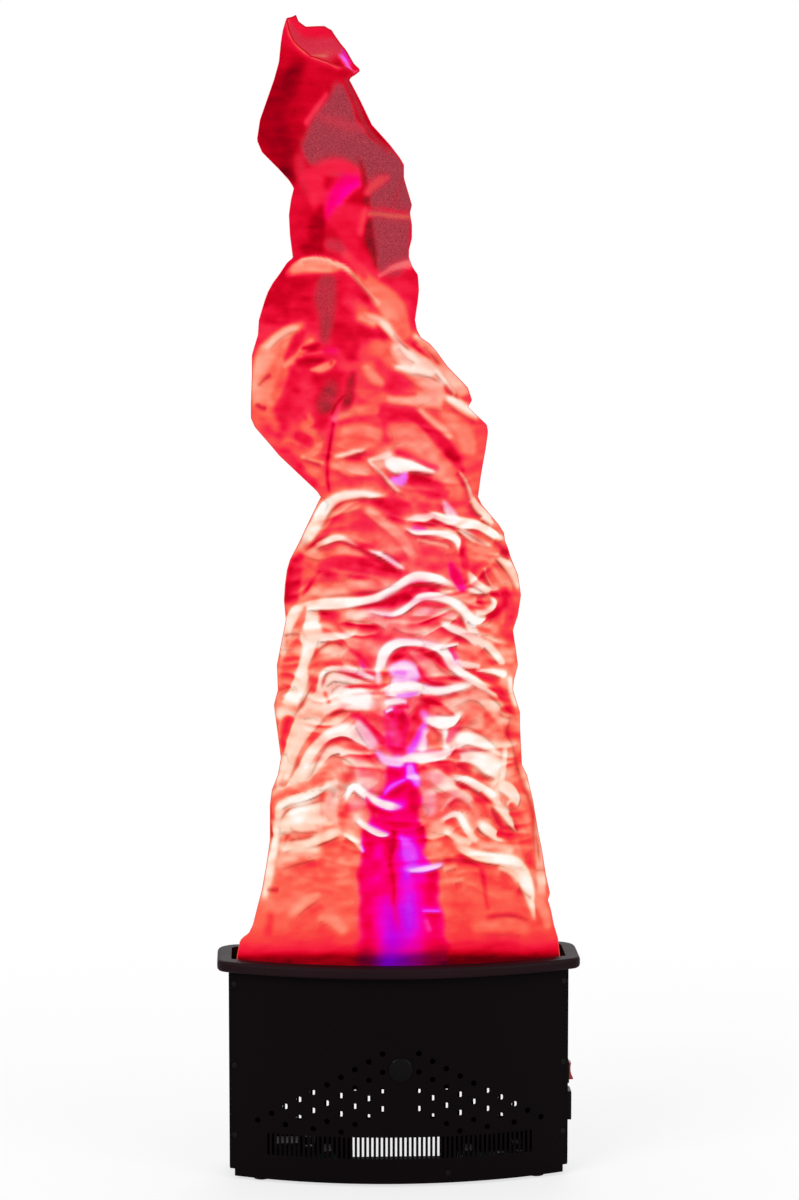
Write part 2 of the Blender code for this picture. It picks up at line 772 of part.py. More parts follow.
def make_fan_frame(name, x):
    """Square fan housing: a round bore, four struts and a hub cup with a bearing seat."""
    outline = rounded_rectangle(x, FAN_Y, FAN_SIZE, FAN_SIZE, FAN_CORNER)
    frame = prism(name, outline, FAN_BOTTOM, FAN_TOP, black_plastic())
    bore = circle(x, FAN_Y, FAN_BORE / 2, FAN_SIDES)
    cut(frame, [prism("bore", bore, FAN_BOTTOM - SHEET, FAN_TOP + SHEET, black_plastic())])
    reach = FAN_BORE + STRUT_WIDTH / 4
    cup_high = FAN_BOTTOM + HUB_CUP_HEIGHT
    strut_a = prism("strut_a", rectangle(x, FAN_Y, reach, STRUT_WIDTH), FAN_BOTTOM,
                    cup_high, black_plastic())
    strut_b = prism("strut_b", rectangle(x, FAN_Y, STRUT_WIDTH, reach), FAN_BOTTOM,
                    cup_high, black_plastic())
    cup = prism("cup", circle(x, FAN_Y, HUB_CUP / 2, HUB_SIDES), FAN_BOTTOM, cup_high,
                black_plastic())
    tube_radius = BEARING_DIAMETER / 2 + GAP + SHEET
    tube = prism("tube", circle(x, FAN_Y, tube_radius, BEARING_SIDES), FAN_BOTTOM,
                 cup_high + BEARING_HEIGHT, black_plastic())
    for part in (strut_a, strut_b, cup, tube):
        fuse(frame, [part])
    seat_radius = BEARING_DIAMETER / 2 + GAP
    seat = prism("seat", circle(x, FAN_Y, seat_radius, BEARING_SIDES), cup_high - SHEET,
                 cup_high + 2 * BEARING_HEIGHT, black_plastic())
    screws = []
    spread = FAN_SIZE / 2 - FAN_HOLE_INSET
    for sx in (-1, 1):
        for sy in (-1, 1):
            ring = circle(x + sx * spread, FAN_Y + sy * spread, FAN_HOLE_DIAMETER / 2,
                          HOLE_SIDES)
            screws.append(prism("screw_hole", ring, FAN_BOTTOM - SHEET, FAN_TOP + SHEET,
                                black_plastic()))
    return smooth(cut(frame, [seat] + screws))


def make_fan_bearing(name, x):
    """Sleeve bearing in its seat; the rotor shaft turns in it."""
    low = FAN_BOTTOM + HUB_CUP_HEIGHT - SHEET + GAP
    high = FAN_BOTTOM + HUB_CUP_HEIGHT + BEARING_HEIGHT
    bearing = prism(name, circle(x, FAN_Y, BEARING_DIAMETER / 2, BEARING_SIDES), low, high,
                    bright_steel())
    bore = circle(x, FAN_Y, SHAFT_DIAMETER / 2 + GAP, BORE_SIDES)
    return smooth(cut(bearing, [prism("bore", bore, low - SHEET, high + SHEET,
                                      bright_steel())]))


def blade(hub, tip, low, height, turn):
    """One fan blade: a thin twisted sheet from the hub to the tip."""
    stations = BLADE_STATIONS
    chord = BLADE_POINTS
    front = []
    back = []
    for s in range(stations):
        radius = hub + (tip - hub) * s / (stations - 1)
        sweep = math.radians(BLADE_SWEEP) * (1.0 - BLADE_NARROWING * s / (stations - 1))
        for c in range(chord):
            share = c / (chord - 1)
            angle = turn + sweep * (share - 0.5)
            lift = low + height * share ** BLADE_CURVE
            x = radius * math.cos(angle)
            y = radius * math.sin(angle)
            front.append((x, y, lift))
            back.append((x, y, lift + BLADE_THICKNESS * math.sqrt(2)))
    points = front + back
    shift = len(front)
    faces = []
    for s in range(stations - 1):
        for c in range(chord - 1):
            a = s * chord + c
            b = a + chord
            faces.append((a, a + 1, b + 1, b))
            faces.append((shift + a, shift + b, shift + b + 1, shift + a + 1))
    for c in range(chord - 1):
        a = c
        faces.append((a, shift + a, shift + a + 1, a + 1))
        a = (stations - 1) * chord + c
        faces.append((a, a + 1, shift + a + 1, shift + a))
    for s in range(stations - 1):
        a = s * chord
        faces.append((a, a + chord, shift + a + chord, shift + a))
        a = s * chord + chord - 1
        faces.append((a, shift + a, shift + a + chord, a + chord))
    return add_object("blade", points, faces, black_plastic())


def make_fan_rotor(name, x):
    """Hub with seven blades and the shaft that turns in the bearing."""
    hub_low = FAN_BOTTOM + HUB_CUP_HEIGHT + ROTOR_GAP
    hub_high = FAN_TOP - SHEET
    hollow = FAN_HUB / 2 - SHEET
    roof = hub_high - 2 * SHEET
    tube_top = FAN_BOTTOM + HUB_CUP_HEIGHT + BEARING_HEIGHT + ROTOR_GAP
    shaft = SHAFT_DIAMETER / 2
    boss = BEARING_DIAMETER / 2
    profile = [(shaft, hub_low), (shaft, tube_top), (boss, tube_top),
               (boss, roof), (hollow, roof), (hollow, hub_low), (FAN_HUB / 2, hub_low),
               (FAN_HUB / 2, hub_high - SHEET), (FAN_HUB / 2 - SHEET, hub_high)]
    rotor = turned(name, profile, HUB_SIDES, black_plastic())
    room = hub_high - SHEET - hub_low - BLADE_HEIGHT
    low = hub_low + room / 2
    hub = FAN_HUB / 2 - SHEET / 2
    tip = FAN_BORE / 2 - FAN_TIP_GAP
    blades = []
    for i in range(BLADE_COUNT):
        blades.append(blade(hub, tip, low, BLADE_HEIGHT, 2 * math.pi * i / BLADE_COUNT))
    fuse(rotor, blades)
    axis = bpy.data.objects.new(name + "_axis", None)
    axis.location = (x, FAN_Y, 0.0)
    bpy.context.scene.collection.objects.link(axis)
    rotor.parent = axis
    return smooth(rotor)


def torus(name, x, y, z, radius, wire, around, sides, finish):
    """Ring of round wire."""
    points = []
    for i in range(around):
        angle = 2 * math.pi * i / around
        for k in range(sides):
            bend = 2 * math.pi * k / sides
            reach = radius + wire / 2 * math.cos(bend)
            points.append((x + reach * math.cos(angle), y + reach * math.sin(angle),
                           z + wire / 2 * math.sin(bend)))
    faces = []
    for i in range(around):
        j = (i + 1) % around
        for k in range(sides):
            m = (k + 1) % sides
            faces.append((i * sides + k, j * sides + k, j * sides + m, i * sides + m))
    return add_object(name, points, faces, finish)


def make_fan_guard(name, x):
    """Wire finger guard on the deck: rings welded on two crossed wires."""
    z = DECK_TOP + GAP + GUARD_WIRE / 2
    length = FAN_BORE + GUARD_WIRE
    guard = None
    for turn in GUARD_TURNS:
        ring = circle(0, 0, GUARD_WIRE / 2, BAR_SIDES)
        bar = prism("bar", ring, -length / 2, length / 2, bright_steel())
        bar.data.transform(Matrix.Rotation(math.radians(90), 4, "Y"))
        bar.data.transform(Matrix.Rotation(math.radians(turn), 4, "Z"))
        bar.data.transform(Matrix.Translation(Vector((x, FAN_Y, z))))
        if guard is None:
            guard = bar
            guard.name = name
        else:
            fuse(guard, [bar])
    rings = [torus("ring", x, FAN_Y, z + GUARD_WIRE * GUARD_WELD, radius, GUARD_WIRE,
                   RING_STEPS, RING_SIDES, bright_steel()) for radius in GUARD_RINGS]
    return smooth(fuse(guard, rings), GUARD_SMOOTHING)


def lamp_grid(x):
    """Centres of the six emitters of one cluster."""
    return [(x + (i - 0.5) * LENS_PITCH, LAMP_Y + (k - 1) * LENS_PITCH)
            for i in range(2) for k in range(3)]


def make_lamp_board(name, x):
    """Board with six emitters."""
    board = prism(name, rectangle(x, LAMP_Y, LAMP_WIDTH, LAMP_DEPTH),
                  BOARD_TOP - BOARD_THICKNESS, BOARD_TOP, white_board())
    chips = [prism("chip", rectangle(cx, cy, EMITTER_SIZE, EMITTER_SIZE),
                   BOARD_TOP - BOARD_THICKNESS / 2, BOARD_TOP + EMITTER_HEIGHT, white_board())
             for cx, cy in lamp_grid(x)]
    return fuse(board, chips)


def make_lamp_lens(name, x):
    """Clear plate with a dome over each emitter."""
    low = LENS_TOP - LENS_PLATE
    plate = prism(name, rectangle(x, LAMP_Y, LAMP_WIDTH, LAMP_DEPTH), low, LENS_TOP,
                  clear_lens())
    domes = []
    for cx, cy in lamp_grid(x):
        profile = [(LENS_DOME, low + LENS_PLATE / 2)]
        for i in range(ROUND_STEPS):
            angle = math.pi / 2 * i / ROUND_STEPS
            profile.append((LENS_DOME * math.cos(angle),
                            LENS_TOP + LENS_DOME * LENS_FLATTENING * math.sin(angle)))
        dome = turned("dome", profile, LENS_SIDES, clear_lens())
        dome.data.transform(Matrix.Translation(Vector((cx, cy, 0.0))))
        domes.append(dome)
    return smooth(fuse(plate, domes))


def make_heatsink(name, x):
    """Finned aluminium extrusion under a lamp board."""
    left = x - LAMP_WIDTH / 2
    pitch = (LAMP_WIDTH - SINK_FIN_THICKNESS) / (SINK_FIN_COUNT - 1)
    base = SINK_TOP - SINK_BASE
    low = base - SINK_FIN
    outline = [(left, SINK_TOP)]
    for i in range(SINK_FIN_COUNT):
        start = left + i * pitch
        outline += [(start, base), (start, low), (start + SINK_FIN_THICKNESS, low),
                    (start + SINK_FIN_THICKNESS, base)]
    outline.pop(1)
    outline.pop(-1)
    outline.append((left + LAMP_WIDTH, SINK_TOP))
    return side_prism(name, outline, LAMP_Y - LAMP_DEPTH / 2, LAMP_Y + LAMP_DEPTH / 2,
                      bare_aluminium())


def make_circuit_board(name, x, width, blocks, cans):
    """Circuit board on four standoffs, with its components fused to it."""
    floor = PAN_BOTTOM + PAN_SHEET + GAP
    low = floor + PCB_STANDOFF
    high = low + PCB_THICKNESS
    board = prism(name, rectangle(x, PCB_Y, width, PCB_DEPTH), low, high, green_board())
    parts = []
    for sx in (-1, 1):
        for sy in (-1, 1):
            px = x + sx * (width / 2 - STANDOFF_INSET)
            py = PCB_Y + sy * (PCB_DEPTH / 2 - STANDOFF_INSET)
            ring = circle(px, py, STANDOFF_DIAMETER / 2, STANDOFF_SIDES)
            parts.append(prism("standoff", ring, floor, low + PCB_THICKNESS / 2,
                               green_board()))
    for dx, dy, wide, deep, tall in blocks:
        parts.append(prism("block", rectangle(x + dx, PCB_Y + dy, wide, deep),
                           high - PCB_THICKNESS / 2, high + tall, green_board()))
    for dx, dy, radius, tall in cans:
        parts.append(prism("can", circle(x + dx, PCB_Y + dy, radius, CAN_SIDES),
                           high - PCB_THICKNESS / 2, high + tall, green_board()))
    return smooth(fuse(board, parts))


def make_boards():
    """Power board on the left of the pan and control board on the right."""
    make_circuit_board("power_board", POWER_X, POWER_WIDTH, POWER_BLOCKS, POWER_CANS)
    make_circuit_board("control_board", CONTROL_X, CONTROL_WIDTH, CONTROL_BLOCKS,
                       CONTROL_CANS)


def make_switch_frame():
    """Switch housing: a bezel outside the wall and a pocket behind it."""
    face = HALF_WIDTH + SWITCH_BEZEL
    outline = rounded_rectangle(SWITCH_Y, SWITCH_Z, SWITCH_WIDTH, SWITCH_HEIGHT,
                                SWITCH_CORNER)
    bezel = wall_prism("switch_frame", outline, HALF_WIDTH + GAP, face, black_plastic())
    body = wall_prism("body", rectangle(SWITCH_Y, SWITCH_Z, SWITCH_BODY_WIDTH,
                                        SWITCH_BODY_HEIGHT),
                      HALF_WIDTH - SWITCH_BODY_DEPTH, HALF_WIDTH + SWITCH_BEZEL / 2,
                      black_plastic())
    fuse(bezel, [body])
    window = rectangle(SWITCH_Y, SWITCH_Z, ROCKER_WIDTH + 2 * GAP,
                       ROCKER_HEIGHT + 2 * ROCKER_ROOM)
    pocket = wall_prism("pocket", window, HALF_WIDTH - SWITCH_POCKET, face + SWITCH_BEZEL,
                        black_plastic())
    cut(bezel, [pocket])
    back = HALF_WIDTH - SWITCH_BODY_DEPTH
    tabs = [wall_prism("tab", rectangle(SWITCH_Y, SWITCH_Z + side * TAB_SPREAD / 2,
                                        TAB_WIDTH, TAB_THICKNESS),
                       back - TAB_LENGTH, back + SHEET, black_plastic())
            for side in (-1, 1)]
    return fuse(bezel, tabs)


def make_switch_rocker():
    """Rocker with a shallow dip in its middle, lower half out at rest."""
    half = ROCKER_HEIGHT / 2
    near = half - LEAST_ROUND
    outline = [(-ROCKER_DEPTH, ROCKER_DEPTH - half - LEAST_ROUND), (0.0, -near),
               (ROCKER_TIP / 2, -half), (ROCKER_TIP - LEAST_ROUND, -half)]
    for i in range(ROCKER_STEPS + 1):
        share = 2 * i / ROCKER_STEPS - 1
        outline.append((ROCKER_DIP + (ROCKER_TIP - ROCKER_DIP) * share ** 2, near * share))
    outline += [(ROCKER_TIP - LEAST_ROUND, half), (ROCKER_TIP / 2, half), (0.0, near),
                (-ROCKER_DEPTH, half + LEAST_ROUND - ROCKER_DEPTH)]
    rocker = side_prism("switch_rocker", outline, -ROCKER_WIDTH / 2, ROCKER_WIDTH / 2,
                        red_plastic())
    rocker.data.transform(Matrix.Rotation(math.radians(-ROCKER_TILT), 4, "Y"))
    rocker.location = (HALF_WIDTH, SWITCH_Y, SWITCH_Z)
    return rocker


def cavity_outline():
    """Outline of the inlet's socket: a rectangle with two cut upper corners."""
    a = CAVITY_HEIGHT / 2
    b = CAVITY_WIDTH / 2
    c = CAVITY_CHAMFER
    return [(INLET_Y - b, INLET_Z - a), (INLET_Y + b - c, INLET_Z - a),
            (INLET_Y + b, INLET_Z - a + c), (INLET_Y + b, INLET_Z + a - c),
            (INLET_Y + b - c, INLET_Z + a), (INLET_Y - b, INLET_Z + a)]


def pin_spots():
    """Name and centre of each of the three pins."""
    return (("inlet_pin_line", INLET_Y - PIN_OFFSET, INLET_Z - PIN_SPREAD),
            ("inlet_pin_neutral", INLET_Y - PIN_OFFSET, INLET_Z + PIN_SPREAD),
            ("inlet_pin_earth", INLET_Y + PIN_OFFSET, INLET_Z))


def make_inlet():
    """Three pin power inlet: flange, body with its socket, and pins."""
    face = HALF_WIDTH + INLET_FLANGE
    back = HALF_WIDTH - INLET_BODY_DEPTH
    outline = rounded_rectangle(INLET_Y, INLET_Z, INLET_WIDTH, INLET_HEIGHT, INLET_CORNER)
    flange = wall_prism("inlet_body", outline, HALF_WIDTH + GAP, face, black_plastic())
    body = wall_prism("body", rectangle(INLET_Y, INLET_Z, INLET_BODY_WIDTH,
                                        INLET_BODY_HEIGHT),
                      back, HALF_WIDTH + INLET_FLANGE / 2, black_plastic())
    fuse(flange, [body])
    floor = face - CAVITY_DEPTH
    cutters = [wall_prism("cavity", cavity_outline(), floor, face + SHEET, black_plastic())]
    for _, y, z in pin_spots():
        spot = rectangle(y, z, PIN_WIDTH + 2 * GAP, PIN_THICKNESS + 2 * GAP)
        cutters.append(wall_prism("pin_hole", spot, back - SHEET, floor - GAP,
                                  black_plastic()))
    for cutter in cutters:
        cut(flange, [cutter])
    for _, y, z in pin_spots():
        spot = rectangle(y, z, PIN_WIDTH + 2 * GAP, PIN_THICKNESS + 2 * GAP)
        cut(flange, [wall_prism("pin_slot", spot, floor - 2 * SHEET, floor + SHEET,
                                black_plastic())])
    for name, y, z in pin_spots():
        wall_prism(name, rectangle(y, z, PIN_WIDTH, PIN_THICKNESS),
                   back - PIN_TAIL, floor + PIN_LENGTH, brass_metal())
    return smooth(flange)


def make_feet():
    """Four rubber feet under the pan."""
    for name, x, y in (("foot_front_left", -FOOT_X, FOOT_FRONT_Y),
                       ("foot_front_right", FOOT_X, FOOT_FRONT_Y),
                       ("foot_rear_left", -FOOT_X, FOOT_REAR_Y),
                       ("foot_rear_right", FOOT_X, FOOT_REAR_Y)):
        radius = FOOT_DIAMETER / 2
        profile = [(radius * FOOT_TAPER, 0.0), (radius, FOOT_HEIGHT * FOOT_CHAMFER),
                   (radius, FOOT_HEIGHT)]
        foot = turned(name, profile, FOOT_SIDES, black_rubber())
        foot.location = (x, y, 0.0)
        smooth(foot)


def make_front_disc():
    """Domed round disc on the middle of the front."""
    radius = DISC_DIAMETER / 2
    edge = DISC_THICKNESS * DISC_EDGE
    profile = [(radius, 0.0), (radius, edge)]
    for i in range(1, ROUND_STEPS + 1):
        angle = math.pi / 2 * i / (ROUND_STEPS + 1)
        profile.append((radius * math.cos(angle),
                        edge + (DISC_THICKNESS - edge) * math.sin(angle)))
    disc = turned("front_disc", profile, DISC_SIDES, black_plastic())
    disc.data.transform(Matrix.Rotation(math.radians(90), 4, "X"))
    disc.location = (0.0, -REAR_Y - GAP, DISC_Z)
    return smooth(disc)


def silk_section(height):
    """Edges and half depth of the silk at a height, straight between the stations."""
    rows = SILK_STATIONS
    if height <= rows[0][0]:
        return rows[0][1:]
    for low, high in zip(rows, rows[1:]):
        if height <= high[0]:
            share = (height - low[0]) / (high[0] - low[0])
            return tuple(a + (b - a) * share for a, b in zip(low[1:], high[1:]))
    return rows[-1][1:]


def silk_point(turn, share, shrink):
    """Point of the silk at a turn round it and a share of its height.

    The hem follows the body outline inside the clamp frame.  Above it the
    section eases to an oval between the left and right edges, with upright
    folds that grow from the hem and level waves up the sleeve.  The mouth is
    cut aslant, with its tip at the back of the left edge.
    """
    angle = 2 * math.pi * turn
    base = DECK_TOP + 2 * GAP
    slant = (1.0 - math.cos(angle - math.radians(MOUTH_TIP))) / 2
    top = SILK_TOP - MOUTH_DROP * slant * math.sqrt(slant)
    height = base + (top - base) * share
    left, right, depth = silk_section(height)
    centre = (left + right) / 2
    grown = min(max((height - base) / SILK_GROWTH, 0.0), 1.0)
    folds = SILK_FOLD_DEPTH * grown * math.sin(
        SILK_FOLD_COUNT * angle + SILK_FOLD_TWIST * height)
    waves = SILK_WAVE_DEPTH * grown * math.sin(
        2 * math.pi * SILK_WAVE_COUNT * height + SILK_WAVE_SLANT * math.sin(angle))
    fade = math.sqrt(abs(math.sin(angle)))
    reach_x = (right - left) / 2 - shrink
    reach_y = depth - shrink + (folds + waves) * fade
    square = 1.0 - SILK_SQUARENESS * (1.0 - grown)
    x = centre + reach_x * math.copysign(abs(math.cos(angle)) ** square, math.cos(angle))
    y = reach_y * math.copysign(abs(math.sin(angle)) ** square, math.sin(angle))
    inset = CLAMP_INSET + CLAMP_WIDTH + SILK_CLEARANCE + shrink
    x, y = keep_inside(x, y, inset, grown)
    return (x, y, height)


def keep_inside(x, y, inset, grown):
    """Hold a hem point inside the body outline set in by inset."""
    slack = HEM_SLACK * grown + FREE_SLACK * grown ** 3
    half = HALF_WIDTH - inset + SIDE_SLACK * slack
    x = max(-half, min(half, x))
    front = front_y(x, inset) - slack
    back = REAR_Y - inset + slack
    return (x, max(front, min(back, y)))


def silk_faces(rows, around):
    """Triangles of the silk, with the same diagonals on the outside and the inside."""
    faces = []
    for r in range(rows):
        s = (r + 1) % rows
        for i in range(around):
            j = (i + 1) % around
            a, b = r * around + i, r * around + j
            c, d = s * around + j, s * around + i
            faces += [(a, b, c), (a, c, d)] if r < rows / 2 else [(a, b, d), (b, c, d)]
    return faces


def make_silk_sleeve():
    """Open sleeve of silk with its main folds, as a thin closed shell."""
    loops = []
    for row in range(SILK_ROWS + 1):
        loops.append([silk_point(i / SILK_AROUND, row / SILK_ROWS, 0.0)
                      for i in range(SILK_AROUND)])
    for row in range(SILK_ROWS, -1, -1):
        loops.append([silk_point(i / SILK_AROUND, row / SILK_ROWS, SILK_WALL)
                      for i in range(SILK_AROUND)])
    points = [p for loop in loops for p in loop]
    faces = silk_faces(len(loops), SILK_AROUND)
    return smooth(add_object("silk_sleeve", points, faces, red_silk()), SILK_SMOOTHING)


def main():
    """Build every piece of the light."""
    clear_scene()
    make_bottom_pan()
    make_front_panel()
    make_side_panels()
    make_rear_panel()
    make_top_rim()
    make_deck_plate()
    make_clamp_frame()
    for word, x in (("left", -FAN_X), ("right", FAN_X)):
        make_fan_frame("fan_frame_" + word, x)
        make_fan_bearing("fan_bearing_" + word, x)
        make_fan_rotor("fan_rotor_" + word, x)
        make_fan_guard("fan_guard_" + word, x)
    for word, x in (("left", -LAMP_X), ("centre", 0.0), ("right", LAMP_X)):
        make_lamp_board("lamp_board_" + word, x)
        make_lamp_lens("lamp_lens_" + word, x)
        make_heatsink("heatsink_" + word, x)
    make_boards()
    make_switch_frame()
    make_switch_rocker()
    make_inlet()
    make_feet()
    make_front_disc()
    make_silk_sleeve()


main()
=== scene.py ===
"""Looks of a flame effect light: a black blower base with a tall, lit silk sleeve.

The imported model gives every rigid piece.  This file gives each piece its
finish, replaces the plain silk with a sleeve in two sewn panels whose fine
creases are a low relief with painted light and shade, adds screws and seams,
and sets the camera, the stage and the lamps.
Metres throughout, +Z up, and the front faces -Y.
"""

import logging
import math
from dataclasses import dataclass
from enum import Enum

import bpy
import numpy as np
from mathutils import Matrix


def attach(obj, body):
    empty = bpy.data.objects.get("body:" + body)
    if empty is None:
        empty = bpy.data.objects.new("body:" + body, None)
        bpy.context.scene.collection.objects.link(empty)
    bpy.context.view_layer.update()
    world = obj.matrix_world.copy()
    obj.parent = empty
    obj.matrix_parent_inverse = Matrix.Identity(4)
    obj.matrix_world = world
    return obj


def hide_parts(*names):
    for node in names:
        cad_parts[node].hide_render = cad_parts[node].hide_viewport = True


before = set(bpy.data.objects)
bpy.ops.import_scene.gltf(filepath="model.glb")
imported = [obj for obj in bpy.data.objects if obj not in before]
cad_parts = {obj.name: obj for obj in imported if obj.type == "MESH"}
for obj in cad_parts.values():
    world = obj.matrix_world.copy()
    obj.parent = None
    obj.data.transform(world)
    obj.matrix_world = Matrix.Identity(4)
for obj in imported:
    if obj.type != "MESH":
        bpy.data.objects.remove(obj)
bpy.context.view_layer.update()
log = logging.getLogger("flame_effect_light")

MM = 0.001
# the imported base: radius of its bowed front, its rear wall and half its width
FRONT_RADIUS = 0.4076
REAR_Y = 0.053
HALF_WIDTH = 0.180
# the painted light and shade that each point of the silk carries for its material
SILK_VALUES = ("lit", "violet", "deep", "crease_shade", "veil_shade")


def linear(code: str) -> tuple[float, float, float, float]:
    """Turn an sRGB hex colour into the linear colour that a shader takes.

    Args:
        code: six hex digits, such as "C81E28".

    Returns:
        Linear red, green and blue, and an alpha of one.
    """
    parts = [int(code[i:i + 2], 16) / 255 for i in (0, 2, 4)]
    red, green, blue = (c / 12.92 if c <= 0.04045 else ((c + 0.055) / 1.055) ** 2.4
                        for c in parts)
    return (red, green, blue, 1.0)


def add_node(tree: bpy.types.NodeTree, kind: str, settings: dict | None = None,
             inputs: dict | None = None,
             stops: tuple[tuple[float, str], ...] = ()) -> bpy.types.Node:
    """Add one node with its settings, its input values or links, and its ramp stops.

    Args:
        tree: the node tree.
        kind: the node's type name.
        settings: attributes of the node by name.
        inputs: values or output sockets by the name or number of the input.
        stops: place and hex colour of each stop of a colour ramp.

    Returns:
        The new node.
    """
    node = tree.nodes.new(kind)
    for name, value in (settings or {}).items():
        setattr(node, name, value)
    for key, value in (inputs or {}).items():
        if isinstance(value, bpy.types.NodeSocket):
            tree.links.new(value, node.inputs[key])
        else:
            node.inputs[key].default_value = value
    for number, (place, code) in enumerate(stops):
        ramp = node.color_ramp.elements
        element = ramp[number] if number < 2 else ramp.new(place)
        element.position = place
        element.color = linear(code)
    return node


def new_material(name: str) -> tuple[bpy.types.Material, bpy.types.NodeTree, bpy.types.Node]:
    """Make a material and return it with its tree and its Principled node."""
    made = bpy.data.materials.new(name)
    made.use_nodes = True
    tree = made.node_tree
    return made, tree, tree.nodes["Principled BSDF"]


def dress(finish: bpy.types.Material, *nodes: str) -> None:
    """Give CAD nodes a finish."""
    for name in nodes:
        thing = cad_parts[name]
        if not thing.data.materials:
            thing.data.materials.append(finish)
        for place in thing.material_slots:
            place.material = finish
        log.info("dressed %s in %s", name, finish.name)


@dataclass(frozen=True)
class Finish:
    """An opaque material with a mottled colour, a fine grain and its gloss.

    The mottle is the slow change of colour and gloss that handling and dust
    give, and the grain is the texture of the surface.
    """

    name: str
    colour: str
    mottle: str
    roughness: float
    grain_mm: float
    grain_depth: float
    mottle_mm: float = 45.0
    metallic: float = 0.0
    ior: float = 1.5
    specular: float = 0.5
    gloss_change: float = 0.08

    def build(self) -> bpy.types.Material:
        """Make the material from noise on the object's own coordinates."""
        made, tree, shader = new_material(self.name)
        place = add_node(tree, "ShaderNodeTexCoord").outputs["Object"]
        cloud = add_node(tree, "ShaderNodeTexNoise", inputs={
            "Vector": place, "Scale": 1 / (self.mottle_mm * MM), "Detail": 4.0})
        grain = add_node(tree, "ShaderNodeTexNoise", inputs={
            "Vector": place, "Scale": 1 / (self.grain_mm * MM), "Detail": 2.0})
        colour = add_node(tree, "ShaderNodeMix", {"data_type": "RGBA"}, {
            0: cloud.outputs["Fac"], 6: linear(self.colour), 7: linear(self.mottle)})
        gloss = add_node(tree, "ShaderNodeMapRange", inputs={
            "Value": cloud.outputs["Fac"], "From Min": 0.3, "From Max": 0.7,
            "To Min": self.roughness - self.gloss_change,
            "To Max": self.roughness + self.gloss_change})
        bump = add_node(tree, "ShaderNodeBump", inputs={
            "Height": grain.outputs["Fac"], "Strength": self.grain_depth,
            "Distance": self.grain_mm * MM / 2})
        tree.links.new(colour.outputs[2], shader.inputs["Base Color"])
        tree.links.new(gloss.outputs["Result"], shader.inputs["Roughness"])
        tree.links.new(bump.outputs["Normal"], shader.inputs["Normal"])
        shader.inputs["Metallic"].default_value = self.metallic
        shader.inputs["IOR"].default_value = self.ior
        shader.inputs["Specular IOR Level"].default_value = self.specular
        return made


# Powder coat on steel sheet: matt, with a fine orange peel of about half a
# millimetre, drawn at 0.9 mm so that it shows
POWDER_COAT = Finish("powder_coated_steel", "080506", "0E090B", 0.66, 0.9, 0.35,
                     mottle_mm=60.0, specular=0.03)
# Satin ABS moulding of the rim: smoother than the walls, so it takes the glow; its black is its own
# colour, and its red tint is painted glow of the silk
SATIN_ABS = Finish("satin_abs_moulding", "16070C", "211015", 0.48, 0.7, 0.12,
                   mottle_mm=70.0, specular=0.06)
# Black nylon of the hem clamp: dull, with a coarse spark eroded texture
SPARKED_NYLON = Finish("spark_eroded_nylon", "161214", "1E181A", 0.60, 0.6, 0.30,
                       specular=0.25)
# Glossy ABS of the switch and inlet housings, and of the disc on the front
GLOSS_ABS = Finish("gloss_abs", "080708", "0D0B0C", 0.14, 1.6, 0.04, specular=0.06,
                   gloss_change=0.04)
# Moulded glass filled nylon of the fans: faint flow marks
FAN_NYLON = Finish("glass_filled_nylon", "131314", "1C1C1E", 0.48, 0.8, 0.22,
                   specular=0.35)
# Red polycarbonate of the rocker: bright gloss
ROCKER_RED = Finish("red_polycarbonate", "A80C14", "98080F", 0.18, 1.8, 0.04,
                    gloss_change=0.04)
# Extruded aluminium: fine die lines and a dull sheen
EXTRUDED_ALUMINIUM = Finish("extruded_aluminium", "A6A9AD", "8E9195", 0.36, 0.5, 0.18,
                            metallic=1.0)
# Zinc plated steel wire of the guards
ZINC_PLATE = Finish("zinc_plated_steel", "9B9C9E", "7F8083", 0.30, 0.6, 0.10,
                    metallic=1.0)
# Sintered bronze sleeve of the fan bearings: dull, with open pores
SINTERED_BRONZE = Finish("sintered_bronze", "8C6A42", "745636", 0.40, 0.5, 0.20,
                         metallic=1.0)
# Nickel plated brass of the inlet pins
PLATED_BRASS = Finish("nickel_plated_brass", "B9B4A4", "A59F8D", 0.24, 0.6, 0.08,
                      metallic=1.0)
# White solder mask of the lamp boards
WHITE_MASK = Finish("white_solder_mask", "D9D7D0", "C9C6BE", 0.42, 0.8, 0.10)
# Moulded rubber of the feet: dead matt
FOOT_RUBBER = Finish("moulded_rubber", "1B1B1B", "242424", 0.82, 0.8, 0.35,
                     specular=0.2)
# Blackened steel of the screws on the walls
BLACK_SCREW = Finish("blackened_steel", "0C090A", "131011", 0.46, 0.6, 0.12,
                     specular=0.08)


